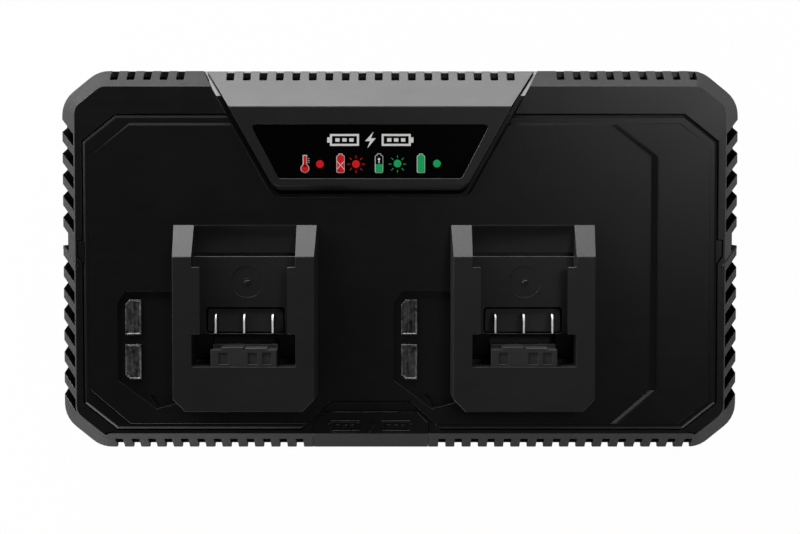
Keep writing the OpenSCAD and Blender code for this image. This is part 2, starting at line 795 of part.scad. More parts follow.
// A status window's outline: one cut corner, grown by d. The front window's cut lies at its front.
function lens_outline(p, front, d) =
    let (w = lens_w / 2 + d, l = lens_len / 2 + d, c = 2.4 + d * 0.4, s = front ? -1 : 1)
    front
        ? [[p[0] - w + c, p[1] - l], [p[0] + w, p[1] - l], [p[0] + w, p[1] + l], [p[0] - w, p[1] + l],
            [p[0] - w, p[1] - l + c]]
        : [[p[0] - w, p[1] - l], [p[0] + w, p[1] - l], [p[0] + w, p[1] + l], [p[0] - w + c, p[1] + l],
            [p[0] - w, p[1] + l - c]];

field_x0 = -open_half_w + deck_gap + deck_border;
field_x1 = -field_x0;
field_rear_y = open_rear_y - deck_gap - deck_border;
field_front_y = open_front_y + deck_gap + deck_front_border;
plateau_x1 = field_x1 - field_w;
step_x = plateau_x1 + plateau_step_w;
rear_chamfer = 0.7;

// A raised field that ends at x1, with its right corners cut by cx and cy and its rear edge drawn in by d.
function raised(x1, cx, cy, d) = [
    [x1, field_front_y + cy], [x1, field_rear_y - cy], [x1 - cx, field_rear_y - d],
    [field_x0 + plateau_cut_x, field_rear_y - d], [field_x0, field_rear_y - plateau_cut_y],
    [field_x0, field_front_y + plateau_cut_y], [field_x0 + plateau_cut_x, field_front_y],
    [x1 - cx, field_front_y]
];
function plateau(x1, d) = raised(x1, plateau_cut_x, plateau_cut_y, d);

// A low bead along the right-hand edge of a field that ends at x1
bead_w = 0.7;
bead_h = 0.25;
module bead(x1, z) difference() {
    slab(plateau(x1 + bead_w, 2 * rear_chamfer), z - 0.5, z + bead_h);
    slab(plateau(x1, 2 * rear_chamfer), z - over, z + over);
}

module dock_hole(x) {
    half = channel_w / 2 + tub_side + deck_hole_gap;
    box(x - half, x + half, recess_front_y - tub_side - deck_hole_gap, window_y + tub_rear + deck_hole_gap,
        parting_z, plateau_z + over);
}

module deck_panel() color(plastic) difference() {
    union() {
        difference() {
            union() {
                loft_rings([
                    [deck_octagon(deck_gap), ledge_top_z], [deck_octagon(deck_gap),
                        border_z - deck_chamfer / 2],
                    [deck_octagon(deck_gap + deck_chamfer), border_z]
                ]);
                for (s = [-1, 1]) slab(side_tab(s, 0), ledge_top_z, border_z - 0.2);
                loft(raised(field_x1, field_cut_x, field_cut_y, 0), border_z - eps,
                    raised(field_x1, field_cut_x, field_cut_y, rear_chamfer), field_z);
                loft(plateau(step_x, rear_chamfer), field_z - eps, plateau(plateau_x1,
                    2 * rear_chamfer), plateau_z);
                bead(plateau_x1 - bead_w, plateau_z);
                bead(step_x, field_z);
            }
            slab(island(deck_gap), ledge_top_z - over, plateau_z + over);
            slab(bay_outline(0, 7), bay_deck_z, plateau_z + over);
        }
        // Posts that carry the status boards
        for (p = led_post_places) rod(p, 2.6, led_board_top_z, ledge_top_z + eps, 20);
    }
    for (x = dock_xs) {
        dock_hole(x);
        translate([x, 0, 0]) slab(console_outline, console_floor_z, plateau_z + over);
        translate([x, 0, 0]) slab(notch_outline, console_floor_z - 0.8, plateau_z + over);
    }
    for (i = [0 : 3]) slab(lens_outline(lens_places()[i], i % 2 == 1, 0.15), ledge_top_z - over,
        plateau_z + over);
    for (p = deck_screw_places) rod(p, small_screw_r + screw_fit, ledge_top_z - over, ledge_top_z + 3, 20);
    for (x = dock_xs, s = [-1, 1], y = dock_screw_ys)
        rod([x + s * dock_screw_dx, y], small_screw_r + 0.25, ledge_top_z - over, plateau_z + over, 20);
    for (p = led_post_places) rod(p, small_screw_r + screw_fit, led_board_top_z - over,
        ledge_top_z + 1, 20);
}

module deck_screws() color(metal) for (p = deck_screw_places)
    screw(p, ledge_top_z - ledge_t - small_head_h, small_head_h, small_head_r, small_screw_r,
        ledge_t + 2.4);

// ---------- Front plate ----------

plate_t = 1.8;
plate_fit = 0.1;

function plate_outline(d) = [
    [deck_cx + plate_w / 2 + d, -half_d - over], [deck_cx + plate_w / 2 + d,
        -half_d + plate_len - plate_cut],
    [deck_cx + plate_w / 2 - plate_cut, -half_d + plate_len + d],
    [deck_cx - plate_w / 2 + plate_cut, -half_d + plate_len + d],
    [deck_cx - plate_w / 2 - d, -half_d + plate_len - plate_cut], [deck_cx - plate_w / 2 - d,
        -half_d - over]
];

// Everything above a surface that lies d below the plate's outer face.
module above_plate(d) along_x([
    [-half_d + d + front_draw, parting_z], [-half_d + d + front_draw, tooth_z + d * 0.6],
    [-half_d + d, tooth_z + tooth_chamfer + d * 0.6], [-half_d + d, band_z - d * 0.2],
    [-half_d + band_w + d * 0.6, top_z + plate_proud - d],
    [-half_d + plate_len + over, top_z + plate_proud - d],
    [-half_d + plate_len + over, top_z + plate_proud + 2 * over],
    [-half_d - over, top_z + plate_proud + 2 * over], [-half_d - over, parting_z]
], -half_w, half_w);

module front_plate_seat() intersection() {
    slab(plate_outline(plate_fit), parting_z - over, top_z + over);
    above_plate(plate_t);
}

module front_plate() color(plastic) intersection() {
    difference() {
        slab(plate_outline(0), parting_z, top_z + plate_proud);
        above_plate(0);
    }
    above_plate(plate_t - eps);
    box(-half_w, half_w, -half_d, 0, parting_z, top_z + plate_proud);
}

// ---------- Status bezel ----------

// The bezel from the side: rear slope, flat face, and an underside that follows its bay.
module bezel_profile() along_x([
    [half_d - fit, bay_rear_z + fit * bezel_slope], [half_d - fit, band_z],
    [half_d - bezel_slope_len, bezel_top_z], [bay_front_y, bezel_top_z],
    [bay_front_y, bay_deck_z], [open_rear_y - fit, bay_deck_z],
    [open_rear_y - fit, bay_flat_z], [bay_flat_y, bay_flat_z]
], -half_w, half_w);

module status_bezel() color(plastic) difference() {
    intersection() {
        loft_rings([
            [bay_outline(bezel_gap, 6), parting_z], [bay_outline(bezel_gap, 6), band_z],
            [bay_outline(bezel_gap + foot_lean, 6, -foot_lean), bay_deck_z],
            [bay_outline(bezel_gap + bezel_lean, 6, bezel_front_lean - bezel_lean), bezel_top_z]
        ]);
        bezel_profile();
    }
    // Hollow underside
    intersection() {
        slab(bay_outline(bezel_gap + bezel_lean + bezel_t, 4), bay_deck_z - over,
            bezel_top_z - bezel_t - label_drop);
        box(-half_w, half_w, bay_front_y, open_rear_y - wall, 0, bezel_top_z);
    }
    edge_slots(bezel_slot_xs, 1, rear_slot_depth);
    slab(label_outline(label_gap), bezel_top_z - label_drop, bezel_top_z + over);
}

// How far the sides have leant in where the bezel meets the deck
foot_lean = bezel_lean * (bay_deck_z - band_z) / (bezel_top_z - band_z);
label_drop = label_t + 0.3;
label_gap = 0.3;
label_rear_y = half_d - bezel_slope_len - label_margin;
function label_outline(d) = rounded([
    [deck_cx + label_half_w + d, label_rear_y + d], [deck_cx - label_half_w - d, label_rear_y + d],
    [deck_cx - label_front_half_w - d * 0.6, label_rear_y - label_len - d],
    [deck_cx + label_front_half_w + d * 0.6, label_rear_y - label_len - d]
], 1.6, 4);

module status_label() color([0.01, 0.01, 0.01])
    slab(label_outline(0), bezel_top_z - label_drop, bezel_top_z - label_drop + label_t);

// ---------- Docks ----------

rim_w = 0.8;
entry_len = 5;             // from the dock's rear to the foot of the rim's slope
groove_w = 1.8;            // drain groove at the platform's step
groove_h = 0.9;
stop_gap = 0.15;
ring_r = 8.2;
ring_x = 0.9;
ring_depth = 0.15;
nib_r = 1.9;
ring_y = dock_rear_y - 29.5;

// The rails' outer walls lean in by their moulding draft.
module dock_block() {
    foot = dock_w / 2 + rail_draft;
    intersection() {
        along_x([
            [dock_rear_y, plateau_z], [dock_rear_y, plateau_z + rail_rear_h],
            [dock_rear_y - rail_slope_len, dock_top_z], [dock_front_y, dock_top_z], [dock_front_y,
                plateau_z]
        ], -foot, foot);
        translate([0, dock_rear_y + over, 0]) rotate([90, 0, 0])
            linear_extrude(height = dock_len + 2 * over) polygon([
                [-foot, plateau_z], [foot, plateau_z], [dock_w / 2, dock_top_z], [-dock_w / 2, dock_top_z]
            ]);
    }
}

module dock_rails() difference() {
    dock_block();
    // Channel between the rails, and the narrower slot between the lips
    box(-channel_w / 2, channel_w / 2, recess_front_y, dock_rear_y + over, plateau_z - over,
        dock_top_z - lip_t);
    box(-lip_gap_w / 2, lip_gap_w / 2, recess_front_y, dock_rear_y + over, plateau_z - over,
        dock_top_z + over);
    box(-channel_w / 2, channel_w / 2, dock_rear_y - lip_start, dock_rear_y + over, plateau_z - over,
        dock_top_z + over);
    box(-channel_w / 2, channel_w / 2, recess_front_y, dock_rear_y - lip_start - lip_len,
        plateau_z - over, dock_top_z + over);
    // Cut front corners
    for (s = [-1, 1])
        slab([
            [s * (dock_w / 2 - dock_cut - over), dock_front_y - over],
            [s * (dock_w / 2 + rail_draft + over), dock_front_y - over],
            [s * (dock_w / 2 + rail_draft + over), dock_front_y + dock_cut + rail_draft + over]
        ], plateau_z - over, dock_top_z + over);
}

module dock_floor() {
    half = channel_w / 2 + tub_side;
    // Rim, entry floor, step and pack platform
    along_x([
        [dock_rear_y, plateau_z], [dock_rear_y, plateau_z + rim_rise], [dock_rear_y - rim_w,
            plateau_z + rim_rise],
        [dock_rear_y - entry_len, entry_z], [dock_rear_y - platform_start + groove_w, entry_z],
        [dock_rear_y - platform_start + groove_w, entry_z - groove_h],
        [dock_rear_y - platform_start, entry_z - groove_h],
        [dock_rear_y - platform_start, platform_z], [recess_y, platform_z], [recess_y, plateau_z]
    ], -channel_w / 2, channel_w / 2);
    // Tub that reaches through the deck
    difference() {
        box(-half, half, recess_front_y - tub_side, window_y + tub_rear, tub_z, plateau_z);
        box(-channel_w / 2, channel_w / 2, recess_front_y, recess_y, pocket_z, plateau_z + over);
    }
}

module pocket_ramp() {
    // The pockets' floors fall away towards the front
    along_x([
        [recess_y + eps, pocket_z - eps], [recess_y + eps, platform_z - 0.6],
        [recess_front_y + 2.4, pocket_z + 0.8], [recess_front_y + 2.4, pocket_z - eps]
    ], -channel_w / 2, channel_w / 2);
}

module dock() {
    difference() {
        union() {
            dock_rails();
            dock_floor();
            pocket_ramp();
        }
        // Terminal window and the carrier's well beneath it
        slab(rounded([
            [window_w / 2, window_y], [-window_w / 2, window_y],
            [-window_w / 2, window_y - window_len], [window_w / 2, window_y - window_len]
        ], 1.8, 4), tub_z - over, platform_z + over);
        box(-stop_w / 2 - stop_gap, stop_w / 2 + stop_gap, recess_front_y, recess_y, pocket_z,
            platform_z + over);
        // Moulding gate mark
        translate([ring_x, ring_y, platform_z - ring_depth]) difference() {
            cylinder(r = ring_r, h = over, $fn = 40);
            translate([0, 0, -over]) cylinder(r = nib_r, h = 3 * over, $fn = 24);
        }
        for (s = [-1, 1], y = dock_screw_ys)
            rod([s * dock_screw_dx, y], small_screw_r + screw_fit, plateau_z - over, plateau_z + 6, 20);
    }
}

module dock_left() color(plastic) translate([dock_left_x, 0, 0]) dock();
module dock_right() color(plastic) translate([dock_right_x, 0, 0]) dock();

module dock_screws() color(metal) for (x = dock_xs, s = [-1, 1], y = dock_screw_ys)
    screw([x + s * dock_screw_dx, y], ledge_top_z - small_head_h, small_head_h, small_head_r,
        small_screw_r, dock_screw_len);

// The stop block at the end of the channel has five pads with stepped rear edges.
pad_edges = [
    [-0.5, -0.34, 1.2], [-0.34, 0, 0], [0, 0.02, 1.4], [0.02, 0.36, 0.3], [0.36, 0.5, 1.2]
];
module stop_block() {
    y0 = recess_front_y;
    top = dock_top_z - 0.4;
    difference() {
        along_x([
            [y0 + 0.05, pocket_z], [y0 + stop_len, pocket_z], [y0 + stop_len, platform_z + 1],
            [y0 + stop_len - 0.8, top], [y0 + 0.05, top]
        ], -stop_w / 2, stop_w / 2);
        for (e = pad_edges)
            box(stop_w * e[0], stop_w * e[1], y0 + stop_len - 0.8 - e[2], y0 + stop_len + over,
                platform_z + 1, dock_top_z + over);
        // Shallow pockets in three of the pads
        for (x = [-10.5, 4.6, 12])
            box(x - 2.4, x + 2.4, y0 + 1.2, y0 + 7.4, top - 0.5, top + over);
    }
}
module stop_block_left() color(soft_black) translate([dock_left_x, 0, 0]) stop_block();
module stop_block_right() color(soft_black) translate([dock_right_x, 0, 0]) stop_block();

// ---------- Terminals ----------

carrier_top_z = platform_z - 1.2;
carrier_z = tub_z - 2;
blade_y0 = window_y - window_len + 0.6;
blade_y1 = blade_y0 + blade_len;
blade_tail = 6;

module terminal_carrier() difference() {
    union() {
        slab(rounded([
            [window_w / 2 - carrier_gap, window_y - carrier_gap], [-window_w / 2 + carrier_gap,
                window_y - carrier_gap],
            [-window_w / 2 + carrier_gap, window_y - window_len + carrier_gap],
            [window_w / 2 - carrier_gap, window_y - window_len + carrier_gap]
        ], 1.2, 4), tub_z - eps, carrier_top_z);
        box(-window_w / 2 - 2.6, window_w / 2 + 2.6, window_y - window_len - 1.6, window_y + 1.6,
            carrier_z, tub_z);
    }
    for (k = [-1, 0, 1])
        box(k * blade_pitch - blade_t / 2 - 0.05, k * blade_pitch + blade_t / 2 + 0.05,
            blade_y0 - 0.05, blade_y1 + 0.05, carrier_z - over, carrier_top_z + over);
}
module terminal_carrier_left() color(soft_black) translate([dock_left_x, 0, 0]) terminal_carrier();
module terminal_carrier_right() color(soft_black) translate([dock_right_x, 0, 0]) terminal_carrier();

// A blade is a flat tab whose rear edge is rounded over for the pack's sockets.
module blade(x) {
    z1 = carrier_top_z + blade_h;
    r = 4;
    translate([x - blade_t / 2, 0, 0]) rotate([90, 0, 90]) linear_extrude(height = blade_t) polygon([
        [blade_y0, carrier_z - blade_tail], [blade_y1, carrier_z - blade_tail],
        [blade_y1, z1 - r], each [for (a = [15 : 15 : 90]) [blade_y1 - r + r * cos(a),
            z1 - r + r * sin(a)]],
        [blade_y0, z1]
    ]);
}
module terminal_blades(x) for (k = [-1, 0, 1]) blade(x + k * blade_pitch);
module terminal_blades_left() color(metal) terminal_blades(dock_left_x);
module terminal_blades_right() color(metal) terminal_blades(dock_right_x);

// ---------- Status windows ----------

led_board_t = 1.2;
led_board_top_z = ledge_top_z - 5;
lens_foot_z = led_board_top_z + 1.4;
led_post_places = [for (x = dock_xs, s = [-1, 1])
    [x - lens_dx, dock_rear_y - lens_start - lens_pitch / 2 + s * (lens_pitch / 2 + lens_len / 2 + 4)]];

module lens(i) color([0.6, 0.6, 0.6, 0.6]) difference() {
    union() {
        slab(lens_outline(lens_places()[i], i % 2 == 1, 0), ledge_top_z - 1, console_floor_z + lens_rise);
        slab(lens_outline(lens_places()[i], i % 2 == 1, 0.9), lens_foot_z, ledge_top_z - 0.1);
    }
    slab(lens_outline(lens_places()[i], i % 2 == 1, -1.6), lens_foot_z - over, ledge_top_z + 1.6);
}
module lens_left_rear() lens(0);
module lens_left_front() lens(1);
module lens_right_rear() lens(2);
module lens_right_front() lens(3);

module led_board(i) color("darkgreen") difference() {
    c = [dock_xs[i] - lens_dx, dock_rear_y - lens_start - lens_pitch / 2];
    half = lens_pitch / 2 + lens_len / 2 + 7;
    box(c[0] - 7, c[0] + 7, c[1] - half, c[1] + half, led_board_top_z - led_board_t, led_board_top_z);
    for (k = [0, 1])
        rod(led_post_places[2 * i + k], small_screw_r + 0.2, led_board_top_z - led_board_t - over,
            led_board_top_z + over, 20);
}
module led_board_left() led_board(0);
module led_board_right() led_board(1);

module leds(i) color("white") for (k = [0, 1], s = [-1, 1]) {
    p = lens_places()[2 * i + k];
    box(p[0] - 1.4, p[0] + 1.4, p[1] + s * 4 - 1.4, p[1] + s * 4 + 1.4, led_board_top_z,
        led_board_top_z + 1.1);
}
module leds_left() leds(0);
module leds_right() leds(1);

// ---------- Mains and main board ----------

pin_pitch = 8.6;
pin_r = 1.2;
pin_len = 9.5;
socket_r = 3.9;
socket_depth = 11;

module mains_inlet() color(soft_black) difference() {
    union() {
        box(inlet_x - inlet_w / 2, inlet_x + inlet_w / 2, inlet_face_y - inlet_depth, inlet_face_y,
            inlet_z - inlet_h / 2, inlet_z + inlet_h / 2);
        box(inlet_x - inlet_w / 2 - inlet_flange, inlet_x + inlet_w / 2 + inlet_flange,
            inlet_face_y - inlet_depth, half_d - base_taper - wall - 0.3,
            inlet_z - inlet_h / 2 - 1.2, inlet_z + inlet_h / 2 + 1.2);
    }
    translate([inlet_x, inlet_face_y + over, inlet_z]) rotate([90, 0, 0]) {
        for (s = [-1, 1]) translate([s * pin_pitch / 2, 0, 0]) cylinder(r = socket_r,
            h = socket_depth + over, $fn = 32);
        translate([-pin_pitch / 2, -socket_r * 0.8, 0]) cube([pin_pitch, socket_r * 1.6,
            socket_depth + over]);
        for (s = [-1, 1]) translate([s * pin_pitch / 2, 0, 0])
            cylinder(r = pin_r + 0.03, h = inlet_depth + 2 * over, $fn = 20);
    }
}

module inlet_pins() color(metal) for (s = [-1, 1])
    translate([inlet_x + s * pin_pitch / 2, inlet_face_y - socket_depth + pin_len, inlet_z])
        rotate([90, 0, 0]) cylinder(r = pin_r, h = pin_len + inlet_depth - socket_depth + 4, $fn = 20);

module lead(points, r) {
    for (i = [0 : len(points) - 2]) {
        d = points[i + 1] - points[i];
        l = norm(d);
        translate(points[i]) rotate([0, acos(d[2] / l), atan2(d[1], d[0])]) cylinder(r = r, h = l,
            $fn = 12);
        if (i > 0) translate(points[i]) sphere(r = r, $fn = 12);
    }
}

lead_r = 1.1;
socket_h = 6;
mains_socket = [inlet_x + 24, board_cy + board_d / 2 - 8];
module mains_leads() color("saddlebrown") for (s = [-1, 1]) {
    y0 = inlet_face_y - inlet_depth - 4 - 0.3;
    x = inlet_x + s * pin_pitch / 2;
    xs = mains_socket[0] + s * 2.6;
    lead([[x, y0, inlet_z], [x, y0 - 6, inlet_z], [xs, mains_socket[1] + 8, board_top_z + socket_h + 8],
        [xs, mains_socket[1], board_top_z + socket_h + 8], [xs, mains_socket[1],
            board_top_z + socket_h + 0.2]], lead_r);
}

module main_board() color("darkgreen") difference() {
    box(board_cx - board_w / 2, board_cx + board_w / 2, board_cy - board_d / 2, board_cy + board_d / 2,
        board_z, board_top_z);
    for (x = [-1, 1], y = [-1, 1])
        rod([board_cx + x * board_hole_dx, board_cy + y * board_hole_dy], small_screw_r + 0.25,
            board_z - over, board_top_z + over, 20);
    for (p = case_screw_places) rod(p, boss_r + 2.4, board_z - over, board_top_z + over, 32);
}

module board_screws() color(metal) {
    for (x = [-1, 1], y = [-1, 1])
        translate([0, 0, 2 * board_top_z]) mirror([0, 0, 1])
            screw([board_cx + x * board_hole_dx, board_cy + y * board_hole_dy],
                board_top_z - small_head_h, small_head_h,
                small_head_r, small_screw_r, board_t + 4.6);
    for (p = led_post_places)
        screw(p, led_board_top_z - led_board_t - small_head_h, small_head_h, small_head_r,
            small_screw_r, led_board_t + 4);
}

// Places on the board, measured from its middle
function on_board(x, y) = [board_cx + x, board_cy + y];
transformer_at = on_board(-8, 18);
module transformer_core() color("dimgray") translate([transformer_at[0], transformer_at[1], board_top_z]) {
    // E-shaped core halves round the winding
    difference() {
        box(-21, 21, -16, 16, 3, 29);
        for (s = [-1, 1]) box(s > 0 ? 7 : -15, s > 0 ? 15 : -7, -17, 17, 9, 23);
    }
}
module transformer_bobbin() color("goldenrod") translate([transformer_at[0], transformer_at[1],
    board_top_z]) {
    box(-18, 18, -20, 20, 0, 2.9);
    for (s = [-1, 1]) box(s > 0 ? 7.1 : -14.9, s > 0 ? 14.9 : -7.1, -19, 19, 9.1, 22.9);
    for (s = [-1, 1]) box(-14.9, 14.9, s > 0 ? 16.1 : -19, s > 0 ? 19 : -16.1, 2.8, 22.9);
}

module mains_choke() color("firebrick") translate([board_cx - 84, board_cy + 22, board_top_z]) {
    cylinder(r = 12, h = 3, $fn = 32);
    translate([0, 0, 3 - eps]) rotate_extrude($fn = 40) translate([9, 4.5]) circle(r = 4.5, $fn = 20);
}

module fuse() color("ivory") translate([board_cx - 108, board_cy + 24, board_top_z]) {
    for (s = [-1, 1]) box(-3, 3, s * 9 - 2, s * 9 + 2, 0, 7);
    translate([0, 11, 4.5]) rotate([90, 0, 0]) cylinder(r = 2.5, h = 22, $fn = 20);
}

bulk_at = [on_board(-56, 30), on_board(-56, 4)];
module bulk_capacitors() color("navy") for (p = bulk_at) {
    rod(p, 9, board_top_z, board_top_z + 24, 32);
}
output_at = [on_board(46, 30), on_board(46, 16), on_board(60, 30), on_board(60, 16)];
module output_capacitors() color("black") for (p = output_at) rod(p, 5, board_top_z, board_top_z + 18, 28);

// A finned extrusion standing on edge
module heat_sink(at, len) translate([at[0], at[1], board_top_z]) {
    box(-len / 2, len / 2, -1.5, 1.5, 0, 26);
    for (k = [0 : 5]) box(-len / 2, len / 2, 1.5 - eps, 9, 2 + k * 4.4, 3.4 + k * 4.4);
}
sink_in_at = on_board(-66, -47);
sink_out_at = on_board(54, -47);
module heat_sink_input() color("silver") heat_sink(sink_in_at, 58);
module heat_sink_output() color("silver") heat_sink(sink_out_at, 52);

module flat_packages(at, xs) for (x = xs)
    box(at[0] + x - 5, at[0] + x + 5, at[1] - 6.1, at[1] - 1.5, board_top_z, board_top_z + 20);
module power_transistors() color("black") flat_packages(sink_in_at, [-20, 0, 20]);
module output_diodes() color("black") flat_packages(sink_out_at, [-14, 6]);

// Sockets for the leads, one by the inlet and one under each dock
dock_socket_y = board_cy - 24;
dock_socket_xs = [dock_left_x + blade_pitch, dock_right_x - blade_pitch];
module lead_sockets() color("whitesmoke") {
    box(mains_socket[0] - 5.4, mains_socket[0] + 5.4, mains_socket[1] - 3, mains_socket[1] + 3,
        board_top_z, board_top_z + socket_h);
    for (x = dock_socket_xs) box(x - 8, x + 8, dock_socket_y - 3, dock_socket_y + 3, board_top_z,
        board_top_z + socket_h);
}

module output_leads(i) for (k = [-1, 0, 1]) {
    x = dock_xs[i] + k * blade_pitch;
    xs = dock_socket_xs[i] + k * 5;
    z0 = carrier_z - blade_tail - 0.3;
    y = (blade_y0 + blade_y1) / 2;
    lead([[x, y, z0], [x, y, z0 - 5], [xs, dock_socket_y, board_top_z + socket_h + 7],
        [xs, dock_socket_y, board_top_z + socket_h + 0.2]], lead_r);
}
module output_leads_left() color("red") output_leads(0);
module output_leads_right() color("red") output_leads(1);

// ---------- Fan ----------

axle_len = fan_t - fan_plate_t - 0.6;
module fan_place() translate([fan_x, fan_y, fan_z]) rotate([0, 90, 0]) translate([0, 0,
    -fan_t / 2]) children();

module fan_frame() color(soft_black) fan_place() {
    difference() {
        box(-fan_size / 2, fan_size / 2, -fan_size / 2, fan_size / 2, 0, fan_t);
        translate([0, 0, -over]) cylinder(r = fan_bore_r, h = fan_t + 2 * over, $fn = 60);
        for (x = [-1, 1], y = [-1, 1])
            rod([x * 0.4 * fan_size, y * 0.4 * fan_size], 1.6, -over, fan_t + over, 16);
    }
    cylinder(r = fan_hub_r, h = fan_plate_t, $fn = 40);
    cylinder(r = fan_axle_r, h = fan_plate_t + axle_len, $fn = 28);
    for (a = [45 : 90 : 315]) rotate([0, 0, a])
        box(fan_hub_r - 1, fan_bore_r + 0.6, -1.1, 1.1, 0, fan_plate_t);
}

rotor_z = fan_plate_t + 0.4;
rotor_h = fan_t - rotor_z - 0.4;
module fan_rotor() color([0.15, 0.15, 0.15]) fan_place() difference() {
    union() {
        translate([0, 0, rotor_z]) cylinder(r = fan_hub_r, h = rotor_h, $fn = 40);
        intersection() {
            union() for (k = [0 : fan_blades - 1]) rotate([0, 0, k * 360 / fan_blades])
                translate([0, 0, rotor_z + rotor_h / 2]) rotate([38, 0, 0])
                    box(fan_hub_r - 1, fan_bore_r, -4.6, 4.6, -0.6, 0.6);
            translate([0, 0, rotor_z + 0.2]) cylinder(r = fan_bore_r - fan_tip_gap, h = rotor_h - 0.4,
                $fn = 60);
        }
    }
    translate([0, 0, rotor_z - over]) cylinder(r = fan_axle_r + fan_fit, h = axle_len + over + 0.3,
        $fn = 28);
}

base_shell();
rubber_feet();
case_screws();
top_frame();
deck_panel();
deck_screws();
front_plate();
status_bezel();
status_label();
dock_left();
dock_right();
dock_screws();
stop_block_left();
stop_block_right();
terminal_carrier_left();
terminal_carrier_right();
terminal_blades_left();
terminal_blades_right();
lens_left_rear();
lens_left_front();
lens_right_rear();
lens_right_front();
led_board_left();
led_board_right();
leds_left();
leds_right();
main_board();
board_screws();
mains_inlet();
inlet_pins();
mains_leads();
transformer_core();
transformer_bobbin();
mains_choke();
fuse();
bulk_capacitors();
output_capacitors();
heat_sink_input();
heat_sink_output();
power_transistors();
output_diodes();
lead_sockets();
output_leads_left();
output_leads_right();
fan_frame();
fan_rotor();
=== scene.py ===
"""Dresses the two-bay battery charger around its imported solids.

Each sub-assembly is a class that shapes its own pieces and gives them their finishes. All lengths are in
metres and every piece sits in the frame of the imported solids.
"""

import logging
import math
from dataclasses import dataclass, field
from enum import Enum, IntEnum
from typing import Iterable, Optional, Sequence, Union

import bmesh
import bpy
from mathutils import Matrix, Vector
from mathutils.kdtree import KDTree


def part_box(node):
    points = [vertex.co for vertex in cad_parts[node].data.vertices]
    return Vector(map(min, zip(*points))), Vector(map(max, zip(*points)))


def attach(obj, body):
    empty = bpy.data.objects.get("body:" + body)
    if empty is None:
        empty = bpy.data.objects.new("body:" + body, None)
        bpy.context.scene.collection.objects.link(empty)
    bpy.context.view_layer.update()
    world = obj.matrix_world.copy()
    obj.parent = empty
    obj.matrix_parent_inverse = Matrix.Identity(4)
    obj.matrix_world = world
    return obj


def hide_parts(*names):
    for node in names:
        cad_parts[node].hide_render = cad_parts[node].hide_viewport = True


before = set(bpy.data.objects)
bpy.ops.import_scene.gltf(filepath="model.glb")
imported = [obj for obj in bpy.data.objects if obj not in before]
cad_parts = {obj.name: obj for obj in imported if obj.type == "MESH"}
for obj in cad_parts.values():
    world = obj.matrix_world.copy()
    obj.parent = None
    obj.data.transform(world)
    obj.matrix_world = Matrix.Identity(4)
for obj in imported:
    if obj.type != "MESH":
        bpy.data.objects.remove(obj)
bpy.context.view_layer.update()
LOG = logging.getLogger("charger")

MM = 0.001
# Corners that are closer together than this are one corner.
WELD = 0.015 * MM
# An edge that turns by more than this is folded over.
FOLDED = math.radians(178.0)
# Folded faces below this area are left alone.
SPECK = 0.02 * MM * MM
# Rounded edges are made smaller near a fold: how often, how far away in roundings, and by what factor.
SETTLE_PASSES = 5
FOLD_REACH = 2.5
FOLD_EASE = 0.3
# The share of the space beside an edge that its rounding may take.
EDGE_SHARE = 0.42
Number = Union[int, float]
Colour = tuple[float, float, float]


# ---------------------------------------------------------------- Shader maths


class Sock:
    """One value in a shader, with Python's operators as Math nodes."""

    def __init__(self, desk: "NodeDesk", socket: bpy.types.NodeSocket) -> None:
        """Wraps a node's output socket."""
        self.desk = desk
        self.socket = socket

    def _math(self, operation: str, first: "Value", second: "Value" = 0.0) -> "Sock":
        """Adds one Math node."""
        made = self.desk.node("ShaderNodeMath", {"operation": operation}, {0: first, 1: second})
        return Sock(self.desk, made.outputs[0])

    def __add__(self, other: "Value") -> "Sock":
        """self + other."""
        return self._math("ADD", self, other)

    def __radd__(self, other: "Value") -> "Sock":
        """other + self."""
        return self._math("ADD", other, self)

    def __sub__(self, other: "Value") -> "Sock":
        """self - other."""
        return self._math("SUBTRACT", self, other)

    def __rsub__(self, other: "Value") -> "Sock":
        """other - self."""
        return self._math("SUBTRACT", other, self)

    def __mul__(self, other: "Value") -> "Sock":
        """self * other."""
        return self._math("MULTIPLY", self, other)

    def __rmul__(self, other: "Value") -> "Sock":
        """other * self."""
        return self._math("MULTIPLY", other, self)

    def __pow__(self, other: "Value") -> "Sock":
        """self ** other."""
        return self._math("POWER", self, other)

    def highest(self, other: "Value") -> "Sock":
        """The larger of the two."""
        return self._math("MAXIMUM", self, other)

    def wave(self) -> "Sock":
        """The sine of self."""
        return self._math("SINE", self)


Value = Union[Number, Sock]


